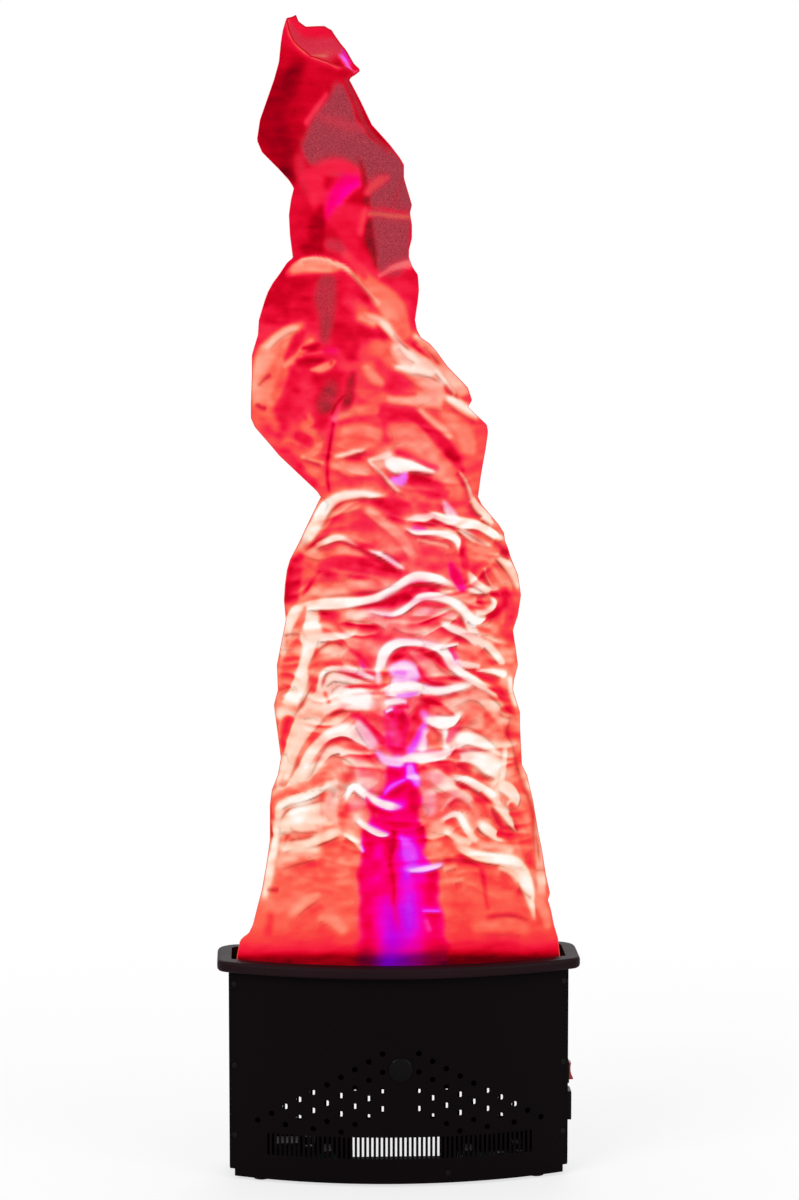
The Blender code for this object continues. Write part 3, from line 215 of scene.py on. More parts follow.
@dataclass(frozen=True)
class BoardFinish:
    """Green solder mask with pale pads, and black components above its face."""

    name: str = "green_solder_mask"
    mask: str = "12512B"
    pad: str = "B8A868"
    component: str = "1A1A1D"
    face_height: float = 0.0125
    pad_mm: float = 3.2

    def build(self) -> bpy.types.Material:
        """Make the material: cells for the pads, and height for the components."""
        made, tree, shader = new_material(self.name)
        place = add_node(tree, "ShaderNodeTexCoord").outputs["Object"]
        cells = add_node(tree, "ShaderNodeTexVoronoi", inputs={
            "Vector": place, "Scale": 1 / (self.pad_mm * MM)})
        pads = add_node(tree, "ShaderNodeMath", {"operation": "LESS_THAN"}, {
            0: cells.outputs["Distance"], 1: 0.16})
        face = add_node(tree, "ShaderNodeMix", {"data_type": "RGBA"}, {
            0: pads.outputs[0], 6: linear(self.mask), 7: linear(self.pad)})
        height = add_node(tree, "ShaderNodeSeparateXYZ", inputs={0: place}).outputs["Z"]
        above = add_node(tree, "ShaderNodeMath", {"operation": "GREATER_THAN"}, {
            0: height, 1: self.face_height})
        colour = add_node(tree, "ShaderNodeMix", {"data_type": "RGBA"}, {
            0: above.outputs[0], 6: face.outputs[2], 7: linear(self.component)})
        tree.links.new(colour.outputs[2], shader.inputs["Base Color"])
        shader.inputs["Roughness"].default_value = 0.35
        return made


@dataclass(frozen=True)
class LensFinish:
    """Clear moulded acrylic with the colour of the emitters behind it."""

    name: str
    glow: str
    strength: float = 2.2

    def build(self) -> bpy.types.Material:
        """Make the material: smooth acrylic that glows as the lamp shines."""
        made, tree, shader = new_material(self.name)
        place = add_node(tree, "ShaderNodeTexCoord").outputs["Object"]
        ripple = add_node(tree, "ShaderNodeTexNoise", inputs={
            "Vector": place, "Scale": 1 / (6 * MM), "Detail": 2.0})
        bump = add_node(tree, "ShaderNodeBump", inputs={
            "Height": ripple.outputs["Fac"], "Strength": 0.1, "Distance": MM})
        tree.links.new(bump.outputs["Normal"], shader.inputs["Normal"])
        shader.inputs["Base Color"].default_value = linear("E8ECF0")
        shader.inputs["Roughness"].default_value = 0.06
        shader.inputs["IOR"].default_value = 1.49
        shader.inputs["Transmission Weight"].default_value = 0.6
        shader.inputs["Emission Color"].default_value = linear(self.glow)
        shader.inputs["Emission Strength"].default_value = self.strength
        return made


@dataclass(frozen=True)
class SilkFinish:
    """Thin habotai silk, dyed flame red, with the light of the lamps inside and below painted into
    it as its own glow.

    The mesh carries five values of painted light and shade that come from the
    folds: "lit" is how squarely the lamps strike the inside of the cloth there,
    "violet" how much of the middle lamp's colour it gets, "deep" where that
    lamp's blue is strongest, "crease_shade" the thin painted shade line along a
    sharp fold, and "veil_shade" the painted shade where a second layer behind dims it.
    """

    name: str = "lit_habotai_silk"
    thread_mm: float = 1.0
    slub_mm: float = 9.0

    def build(self) -> bpy.types.Material:
        """Make the material: the painted glow is a ramp on lit, tinted by violet."""
        made, tree, shader = new_material(self.name)
        value = {word: add_node(tree, "ShaderNodeAttribute", {"attribute_name": word})
                 .outputs["Fac"] for word in SILK_VALUES}
        place = add_node(tree, "ShaderNodeTexCoord").outputs["Object"]
        stretch = add_node(tree, "ShaderNodeMapping", inputs={
            "Vector": place, "Scale": (0.25, 0.25, 1.0)})
        slub = add_node(tree, "ShaderNodeTexNoise", inputs={
            "Vector": stretch.outputs[0], "Scale": 1 / (self.slub_mm * MM), "Detail": 5.0})
        thread = add_node(tree, "ShaderNodeTexNoise", inputs={
            "Vector": place, "Scale": 1 / (self.thread_mm * MM), "Detail": 1.0})
        shift = add_node(tree, "ShaderNodeMath", {"operation": "MULTIPLY_ADD"}, {
            0: slub.outputs["Fac"], 1: 0.10, 2: -0.05})
        fine = add_node(tree, "ShaderNodeMath", {"operation": "MULTIPLY_ADD"}, {
            0: thread.outputs["Fac"], 1: 0.06, 2: -0.03})
        both = add_node(tree, "ShaderNodeMath", {"operation": "ADD"}, {
            0: shift.outputs[0], 1: fine.outputs[0]})
        light = add_node(tree, "ShaderNodeMath", {"operation": "ADD", "use_clamp": True}, {
            0: value["lit"], 1: both.outputs[0]})
        # painted light of the red lamps: deep red where the cloth is in shade, cream where it faces
        # them
        flame = add_node(tree, "ShaderNodeValToRGB", inputs={"Fac": light.outputs[0]}, stops=(
            (0.0, "5A0008"), (0.08, "AC0012"), (0.13, "D0041E"), (0.19, "EA1032"),
            (0.26, "F4263E"), (0.35, "F7413F"), (0.46, "F96450"), (0.58, "FA8C73"),
            (0.70, "FAB097"), (0.82, "FBD4BC"), (0.92, "FCEADC"), (1.0, "FEFAF4")))
        # painted light of the middle lamp: crimson through magenta to pale lavender
        bloom = add_node(tree, "ShaderNodeValToRGB", inputs={"Fac": light.outputs[0]}, stops=(
            (0.0, "3A0020"), (0.12, "C0002C"), (0.20, "EE0040"), (0.28, "FA0074"),
            (0.36, "F800A8"), (0.46, "EC14DC"), (0.56, "EA48F6"), (0.68, "F086FC"),
            (0.82, "F8C8FE"), (0.94, "FFF4FF")))
        tinted = add_node(tree, "ShaderNodeMix", {"data_type": "RGBA"}, {
            0: value["violet"], 6: flame.outputs[0], 7: bloom.outputs[0]})
        # painted light: the middle lamp's deep blue violet
        deep = add_node(tree, "ShaderNodeMix", {"data_type": "RGBA"}, {
            0: value["deep"], 6: tinted.outputs[2], 7: linear("6400F0")})
        # painted shade where a second layer lies behind: a dull woven red
        veil_shade_weave = add_node(tree, "ShaderNodeValToRGB", inputs={"Fac": thread.outputs["Fac"]},
                         stops=((0.34, "842A3A"), (0.66, "B64854")))
        veil_shaded = add_node(tree, "ShaderNodeMix", {"data_type": "RGBA"}, {
            0: value["veil_shade"], 6: deep.outputs[2], 7: veil_shade_weave.outputs[0]})
        # painted shade: a dark brown-red line along each sharp crease
        crease_shaded = add_node(tree, "ShaderNodeMix", {"data_type": "RGBA"}, {
            0: value["crease_shade"], 6: veil_shaded.outputs[2], 7: linear("8E2A24")})
        bump = add_node(tree, "ShaderNodeBump", inputs={
            "Height": thread.outputs["Fac"], "Strength": 0.25, "Distance": 0.3 * MM})
        # the painted light and shade go out as the cloth's own glow; no light from the lamps passes
        # through it
        tree.links.new(crease_shaded.outputs[2], shader.inputs["Emission Color"])
        tree.links.new(bump.outputs["Normal"], shader.inputs["Normal"])
        shader.inputs["Base Color"].default_value = linear("180002")
        shader.inputs["Emission Strength"].default_value = 1.03
        shader.inputs["Roughness"].default_value = 0.6
        shader.inputs["Specular IOR Level"].default_value = 0.0
        return made


def grid_mesh(name: str, points: np.ndarray, values: dict[str, np.ndarray] | None = None,
              wrap: bool = False) -> bpy.types.Object:
    """Make a smooth mesh from a grid of points, with its values and a UV map.

    Args:
        name: the piece's name.
        points: rows by columns by three; columns then rows turn outwards.
        values: named values, rows by columns, stored on the points.
        wrap: whether the last column joins the first.

    Returns:
        The new object, linked to the scene.
    """
    rows, columns = points.shape[:2]
    index = np.arange(rows * columns).reshape(rows, columns)
    right = np.roll(index, -1, axis=1)
    if not wrap:
        index, right = index[:, :-1], right[:, :-1]
    quads = np.stack([index[:-1], right[:-1], right[1:], index[1:]], axis=-1).reshape(-1, 4)
    mesh = bpy.data.meshes.new(name)
    mesh.vertices.add(rows * columns)
    mesh.vertices.foreach_set("co", points.reshape(-1))
    mesh.loops.add(quads.size)
    mesh.loops.foreach_set("vertex_index", quads.reshape(-1))
    mesh.polygons.add(len(quads))
    mesh.polygons.foreach_set("loop_start", np.arange(0, quads.size, 4))
    mesh.polygons.foreach_set("use_smooth", np.ones(len(quads), bool))
    mesh.update(calc_edges=True)
    for word, data in (values or {}).items():
        layer = mesh.attributes.new(word, "FLOAT", "POINT")
        layer.data.foreach_set("value", data.reshape(-1).astype(np.float32))
    across, up = np.meshgrid(np.linspace(0, 1, columns), np.linspace(0, 1, rows))
    flat = np.stack([across, up], axis=-1).reshape(-1, 2)[quads.reshape(-1)]
    mesh.uv_layers.new(name="cloth").data.foreach_set("uv", flat.reshape(-1))
    mesh.validate()
    made = bpy.data.objects.new(name, mesh)
    bpy.context.scene.collection.objects.link(made)
    return made


def tube_points(path: np.ndarray, radius: float, sides: int = 8) -> np.ndarray:
    """Carry a circle along a path: centre + radius (cos t * side + sin t * up).

    Args:
        path: points of the centreline.
        radius: radius of the tube.
        sides: points round it.

    Returns:
        The grid of points, one row for each point of the path.
    """
    along = np.gradient(path, axis=0)
    along /= np.linalg.norm(along, axis=1, keepdims=True)
    side = np.cross(along, np.array([0.13, 0.99, 0.05]))
    side /= np.linalg.norm(side, axis=1, keepdims=True)
    up = np.cross(side, along)
    turn = np.linspace(0, 2 * np.pi, sides, endpoint=False)
    ring = (np.cos(turn)[None, :, None] * side[:, None]
            + np.sin(turn)[None, :, None] * up[:, None])
    return path[:, None] + radius * ring


@dataclass
class Studio:
    """The camera, the white stage and the soft lamps."""

    camera_place: tuple[float, float, float] = (-0.1535, -3.5151, 1.0241)
    pitch: float = 0.11547
    yaw: float = -0.04391
    focal_px: float = 3383.7
    centre_px: tuple[float, float] = (400.07, 600.0)
    picture_px: tuple[int, int] = (799, 1200)
    sensor_mm: float = 24.0
    floor_size: float = 60.0

    def make_camera(self) -> None:
        """Set the camera where the photograph was taken from."""
        data = bpy.data.cameras.new("photo_camera")
        data.sensor_fit = "VERTICAL"
        data.sensor_height = self.sensor_mm
        data.lens = self.sensor_mm * self.focal_px / self.picture_px[1]
        data.clip_end = 200.0
        made = bpy.data.objects.new("photo_camera", data)
        made.location = self.camera_place
        made.rotation_euler = (math.pi / 2 - self.pitch, 0.0, self.yaw)
        bpy.context.scene.collection.objects.link(made)
        bpy.context.scene.camera = made

    def picture_place(self, points: np.ndarray) -> tuple[np.ndarray, np.ndarray]:
        """Column and row in the picture of each point, by the pinhole formula.

        Args:
            points: an array whose last axis is x, y and z.

        Returns:
            The columns and the rows, in pixels.
        """
        offset = points - np.array(self.camera_place)
        level = np.array([-math.sin(self.yaw), math.cos(self.yaw), 0.0])
        ahead = level * math.cos(self.pitch) - np.array([0, 0, math.sin(self.pitch)])
        side = np.array([math.cos(self.yaw), math.sin(self.yaw), 0.0])
        up = np.cross(side, ahead)
        depth = offset @ ahead
        column = self.centre_px[0] + self.focal_px * (offset @ side) / depth
        row = self.centre_px[1] - self.focal_px * (offset @ up) / depth
        return column, row

    def seam_place(self, column: np.ndarray, row: np.ndarray) -> tuple[np.ndarray, np.ndarray]:
        """X and z where the line of sight of each picture place meets the plane y = 0."""
        side = (column - self.centre_px[0]) / self.focal_px
        up = (self.centre_px[1] - row) / self.focal_px
        level = math.cos(self.pitch) + up * math.sin(self.pitch)
        along = -math.sin(self.yaw) * level + side * math.cos(self.yaw)
        away = math.cos(self.yaw) * level + side * math.sin(self.yaw)
        climb = -math.sin(self.pitch) + up * math.cos(self.pitch)
        reach_out = -self.camera_place[1] / away
        return (self.camera_place[0] + along * reach_out,
                self.camera_place[2] + climb * reach_out)

    def make_world(self) -> None:
        """White to the camera and in reflections, and a plain soft fill elsewhere."""
        world = bpy.data.worlds.new("studio")
        bpy.context.scene.world = world
        world.use_nodes = True
        tree = world.node_tree
        tree.nodes.clear()
        path = add_node(tree, "ShaderNodeLightPath").outputs
        seen = add_node(tree, "ShaderNodeMath", {"operation": "MAXIMUM"}, {
            0: path["Is Camera Ray"], 1: path["Is Glossy Ray"]})
        clear = add_node(tree, "ShaderNodeMath", {"operation": "MAXIMUM"}, {
            0: seen.outputs[0], 1: path["Is Transmission Ray"]})
        strength = add_node(tree, "ShaderNodeMapRange", inputs={
            "Value": clear.outputs[0], "To Min": 0.55, "To Max": 1.0})
        light = add_node(tree, "ShaderNodeBackground", inputs={
            "Color": (1.0, 1.0, 1.0, 1.0), "Strength": strength.outputs["Result"]})
        out = add_node(tree, "ShaderNodeOutputWorld", inputs={0: light.outputs[0]})
        out.is_active_output = True

    def make_floor(self) -> None:
        """Pale floor whose shadows stay soft and light."""
        half = self.floor_size / 2
        corner = np.array([[[-half, -half, 0], [half, -half, 0]],
                           [[-half, half, 0], [half, half, 0]]], float)
        floor = grid_mesh("studio_floor", corner)
        made, tree, shader = new_material("pale_floor")
        shader.inputs["Base Color"].default_value = linear("F0F0F0")
        shader.inputs["Roughness"].default_value = 0.9
        shader.inputs["Specular IOR Level"].default_value = 0.0
        path = add_node(tree, "ShaderNodeLightPath").outputs
        white = add_node(tree, "ShaderNodeEmission", inputs={
            "Color": (1.0, 1.0, 1.0, 1.0), "Strength": 1.0})
        place = add_node(tree, "ShaderNodeTexCoord").outputs["Object"]
        away = add_node(tree, "ShaderNodeVectorMath", {"operation": "LENGTH"}, {0: place})
        fade = add_node(tree, "ShaderNodeMapRange", inputs={
            "Value": away.outputs["Value"], "From Min": 0.25, "From Max": 1.3,
            "To Min": 0.70, "To Max": 1.0})
        share = add_node(tree, "ShaderNodeMath", {"operation": "MULTIPLY"}, {
            0: path["Is Camera Ray"], 1: fade.outputs["Result"]})
        mixed = add_node(tree, "ShaderNodeMixShader", inputs={
            0: share.outputs[0], 1: shader.outputs[0], 2: white.outputs[0]})
        out = tree.nodes["Material Output"]
        tree.links.new(mixed.outputs[0], out.inputs["Surface"])
        floor.data.materials.append(made)

    def make_lamps(self) -> None:
        """Two broad soft lamps in front and one above the back."""
        for name, place, aim, size, power in (
                ("key_lamp", (-2.6, -3.0, 3.0), (0.0, 0.0, 0.4), 2.4, 90.0),
                ("fill_lamp", (2.8, -2.6, 1.8), (0.0, 0.0, 0.4), 2.4, 45.0),
                ("back_lamp", (0.4, 3.0, 3.2), (0.0, 0.0, 0.5), 2.2, 60.0)):
            data = bpy.data.lights.new(name, "AREA")
            data.size = size
            data.energy = power
            lamp = bpy.data.objects.new(name, data)
            lamp.location = place
            offset = np.array(aim) - np.array(place)
            flat = math.hypot(offset[0], offset[1])
            lamp.rotation_euler = (math.atan2(flat, -offset[2]), 0.0,
                                   math.atan2(-offset[0], offset[1]))
            bpy.context.scene.collection.objects.link(lamp)

    def build(self) -> None:
        """Make the camera, the world, the floor and the lamps."""
        self.make_camera()
        self.make_world()
        self.make_floor()
        self.make_lamps()
        bpy.context.scene.view_settings.view_transform = "Standard"


class Panel(Enum):
    """The two sewn panels of the sleeve, by the turn at which each starts."""

    BACK = 0.0
    FRONT = 0.5


def rounded(path: np.ndarray, times: int = 3) -> np.ndarray:
    """Round the corners of a path by cutting each at a quarter, a few times."""
    for _ in range(times):
        near = 0.75 * path[:-1] + 0.25 * path[1:]
        far = 0.25 * path[:-1] + 0.75 * path[1:]
        inner = np.stack([near, far], axis=1).reshape(-1, path.shape[1])
        path = np.concatenate([path[:1], inner, path[-1:]])
    return path


def reach(path: np.ndarray, column: np.ndarray, row: np.ndarray
          ) -> tuple[np.ndarray, np.ndarray, np.ndarray, np.ndarray]:
    """Distance from a path, and the path's own values at the nearest point.

    Args:
        path: points of the path: column, row and a value.
        column: columns of the places.
        row: rows of the places.

    Returns:
        The distances, the third values, how far below the nearest point each place
        is, and the share of the way along the path.
    """
    start, step = path[:-1], np.diff(path, axis=0)
    flat = step[:, :2]
    length = np.maximum((flat ** 2).sum(-1), 1e-9)
    place = np.stack([column, row], axis=-1)[:, None] - start[None, :, :2]
    share = np.clip((place * flat).sum(-1) / length, 0.0, 1.0)
    away = place - share[..., None] * flat
    distance = np.linalg.norm(away, axis=-1)
    nearest = distance.argmin(axis=1)
    pick = np.arange(len(nearest))
    value = start[nearest, 2] + share[pick, nearest] * step[nearest, 2]
    along = (nearest + share[pick, nearest]) / len(start)
    return distance[pick, nearest], value, away[pick, nearest, 1], along


def eased(part: np.ndarray) -> np.ndarray:
    """Ease a share from 0 to 1 so that it starts and ends level: 3 p^2 - 2 p^3."""
    return part * part * (3 - 2 * part)


def ramp(beyond: np.ndarray, width: float) -> np.ndarray:
    """Rise from 0 to 1 over a width."""
    return np.clip(beyond / width, 0.0, 1.0)


def bell(place: np.ndarray, centre: np.ndarray | float, width: float) -> np.ndarray:
    """Smooth bump from 0 to 1: exp(-((place - centre) / width)^2)."""
    return np.exp(-((place - centre) / width) ** 2)


def beside(path: np.ndarray, column: np.ndarray, row: np.ndarray, room: float) -> np.ndarray:
    """Which places lie in the box round a path, widened by some room."""
    low, high = path[:, :2].min(axis=0) - room, path[:, :2].max(axis=0) + room
    return (column > low[0]) & (column < high[0]) & (row > low[1]) & (row < high[1])


@dataclass(frozen=True)
class Mottle:
    """Smooth noise from 0 to 1 in cells of the picture, with their size in pixels."""

    width: float
    height: float
    seed: int
    corners: int = 64

    def at(self, column: np.ndarray, row: np.ndarray) -> np.ndarray:
        """The noise at each place: random corners of the cells, eased between them."""
        corner = np.random.default_rng(self.seed).random((self.corners, self.corners))
        across, up = column / self.width, row / self.height
        left, low = np.floor(across).astype(int), np.floor(up).astype(int)
        part_across, part_up = eased(across - left), eased(up - low)
        left, right = left % self.corners, (left + 1) % self.corners
        low, high = low % self.corners, (low + 1) % self.corners
        near = corner[low, left] * (1 - part_across) + corner[low, right] * part_across
        far = corner[high, left] * (1 - part_across) + corner[high, right] * part_across
        return near * (1 - part_up) + far * part_up


@dataclass(frozen=True)
class Profile:
    """A value that changes up the sleeve, straight between a few rows of the picture."""

    rows: tuple[float, ...]
    levels: tuple[float, ...]

    def at(self, row: np.ndarray) -> np.ndarray:
        """The value at each row."""
        return np.interp(row, self.rows, self.levels)


# faces over this level throw light on the cloth round them
GLOWING_LEVEL = 0.45
# long faces over this level thin out at their ends and in streaks
BRIGHT_LEVEL = 0.6
# the shadow beside a fold or a crease goes no darker than this
SHADOW_LEVEL = 0.17
# how firm the painted shade line under a bright fold is, which grows down the sleeve
LINE_FIRMNESS = Profile((300, 480), (0.6, 2.8))
STREAKS = Mottle(20, 9, 83)
GLOW_SPREAD = Mottle(24, 16, 81)


@dataclass(frozen=True)
class Band:
    """A face of a fold that runs along a path and takes one level of painted light.

    The path is read off: column, row and half width of the face, in
    pixels of the picture.
    or doubled, to 1, square to them.  Later bands lie over earlier ones.
    """

    level: float
    path: tuple[tuple[float, float, float], ...]
    violet: float | None = None
    veil_shade: float | None = None
    soft: float = 1.8
    glow: float = 11.0

    def lay(self, column: np.ndarray, row: np.ndarray, values: dict[str, np.ndarray]) -> None:
        """Blend the band's level, violet and veil into the grid's values.

        The face has a soft edge.  Round it lie a painted glow, the painted shadow that it
        throws below itself, and in that a thin dark line of painted shade close to its edge.
        """
        path = rounded(np.array(self.path, float))
        near = beside(path, column, row, path[:, 2].max() + 1.6 * self.soft + self.glow)
        if not near.any():
            return
        column, row = column[near], row[near]
        distance, half, drop, along = reach(path, column, row)
        to_end = np.minimum(along, 1 - along)
        below = np.clip(drop / np.maximum(distance, 0.5), -1.0, 1.0)
        streak, spread = STREAKS.at(column, row), GLOW_SPREAD.at(column, row)
        cover = eased(np.clip((half - distance) / (2 * self.soft) + 0.5, 0.0, 1.0))
        if self.level > BRIGHT_LEVEL and len(self.path) > 3:
            cover *= np.clip(0.30 + 4.5 * to_end, 0.0, 1.0) * np.clip(0.75 + 0.6 * streak, 0.0, 1.0)
        for word, aim in (("violet", self.violet), ("veil_shade", self.veil_shade)):
            if aim is not None:
                values[word][near] += cover * (aim - values[word][near])
        glow = np.clip(1 - (distance - half) / (self.glow * (0.3 + spread)), 0.0, 1.0)
        share = 0.10 + 0.40 * spread if self.level > GLOWING_LEVEL else 0.12
        cover += (1 - cover) * glow * glow * share * (0.6 - 0.4 * below)
        lit = values["lit"][near]
        lit += cover * (self.level - lit)
        # painted shade: how much the fold stands out sets the depth of the shadow below it and of
        # the dark line at its edge
        relief = np.clip(self.level - GLOWING_LEVEL, 0.0, 0.4) * np.clip(below + 0.2, 0, 1)
        relief *= streak * np.clip(6 * to_end, 0.0, 1.0)
        shadow = bell(distance - half, 2.0 * self.soft, 1.6 * self.soft)
        values["lit"][near] = np.maximum(lit - 0.6 * relief * shadow,
                                         np.minimum(lit, SHADOW_LEVEL))
        edge = bell(distance - half, 0.6 * self.soft, 1.1)
        line = values["crease_shade"][near] * (1 - cover)
        values["crease_shade"][near] = np.maximum(line, LINE_FIRMNESS.at(row) * relief * edge)


# the painted light and shade of the folds of the sleeve, band by band, in four tables from the top
# down
TOP_BANDS = (
    # plain upper sleeve
    Band(0.07, ((268, 80, 12), (270, 120, 16), (286, 160, 14)), soft=7),
    Band(0.05, ((297, 66, 8), (290, 84, 9), (284, 100, 8)), soft=7),
    Band(0.13, ((318, 74, 12), (318, 95, 13), (308, 116, 10)), soft=6),
    Band(0.13, ((318, 130, 5), (304, 150, 6), (300, 172, 6)), soft=5),
    Band(0.04, ((284, 168, 5), (294, 178, 6)), soft=5),
    Band(0.17, ((298, 196, 8), (294, 225, 8), (296, 250, 8)), soft=5),
    # a second layer behind dims the cloth, painted as shade
    Band(0.20, ((341, 90, 6), (341, 106, 14), (337, 124, 24), (338, 142, 34)), veil_shade=0.95, soft=3),
    Band(0.16, ((360, 148, 14), (380, 165, 20), (389, 188, 22), (392, 203, 20)), veil_shade=0.95,
         soft=3),
    Band(0.18, ((391, 216, 20), (392, 240, 20), (393, 258, 19)), veil_shade=0.90, soft=3),
    Band(0.30, ((322, 118, 4), (345, 124, 6), (362, 128, 4)), veil_shade=0.70, soft=5),
    Band(0.10, ((348, 80, 2), (355, 96, 2), (366, 124, 2), (386, 150, 2)), veil_shade=0.4, soft=2),
    Band(0.32, ((328, 96, 2), (318, 110, 2.5), (308, 124, 2.5)), veil_shade=0.1, soft=2),
    Band(0.20, ((302, 158, 4), (304, 176, 6), (312, 190, 6)), veil_shade=0.25, soft=5),
    Band(0.25, ((306, 178, 4), (322, 168, 8), (340, 166, 8), (355, 172, 6)), veil_shade=0.0, soft=4),
    Band(0.23, ((318, 196, 8), (336, 212, 14), (352, 218, 13)), veil_shade=0.0, soft=5),
    Band(0.25, ((316, 182, 8), (318, 198, 6)), veil_shade=0.0, soft=4),
    Band(0.27, ((326, 214, 4), (333, 198, 7), (343, 184, 11), (354, 181, 7)), 1.0, 0.0, 5),
    Band(0.33, ((338, 200, 3), (348, 188, 5), (356, 185, 3)), 1.0, 0.0, 4),
    Band(0.09, ((321, 206, 3), (317, 225, 9), (312, 246, 12)), veil_shade=0.0, soft=4),
    Band(0.15, ((302, 214, 6), (300, 235, 8)), veil_shade=0.0, soft=5),
    Band(0.22, ((331, 243, 5), (344, 245, 6)), veil_shade=0.55, soft=4),
    Band(0.20, ((346, 226, 8), (352, 240, 7), (364, 262, 8), (372, 275, 6)), veil_shade=0.0, soft=4),
    Band(0.06, ((359, 160, 1.5), (365, 180, 3), (368, 200, 3), (370, 226, 6), (374, 244, 5),
                (377, 266, 2)), veil_shade=0.15, soft=3),
    Band(0.36, ((368, 192, 4), (376, 181, 6), (386, 177, 3)), veil_shade=0.25, soft=3),
    Band(0.36, ((366, 212, 3), (362, 230, 3)), veil_shade=0.0, soft=4),
    Band(0.48, ((371, 215, 2), (390, 215, 2.5), (410, 215, 2.5)), veil_shade=0.35, soft=2),
    Band(0.18, ((370, 210, 1), (390, 210.5, 1.5), (411, 210, 1.5)), veil_shade=0.1, soft=1.2),
    Band(0.06, ((394, 204, 1), (399, 188, 1.2), (402, 174, 0.8)), veil_shade=0.5, soft=1.6),
    Band(0.52, ((380, 276, 1.5), (394, 269, 3.5), (411, 266, 4.5)), 0.1, 0.0, 1.8),
    Band(0.22, ((388, 288, 8), (404, 290, 13), (412, 303, 8)), veil_shade=0.0, soft=3),
    # the mouth
    Band(0.40, ((290, 22, 3), (295, 38, 5), (305, 50, 3)), soft=2.5),
    Band(0.70, ((292, 34, 1.0), (301, 45, 1.6), (312, 57, 1.8), (326, 61, 1.5), (340, 67, 1.0)),
         soft=1.5),
    Band(0.38, ((346, 56, 2), (350, 60, 3.4), (355, 64, 3)), 1.0, soft=2, glow=3),
    Band(0.60, ((350, 66, 1.5), (354, 67, 2), (360, 69, 1)), 0.75, soft=1.6, glow=3),
)
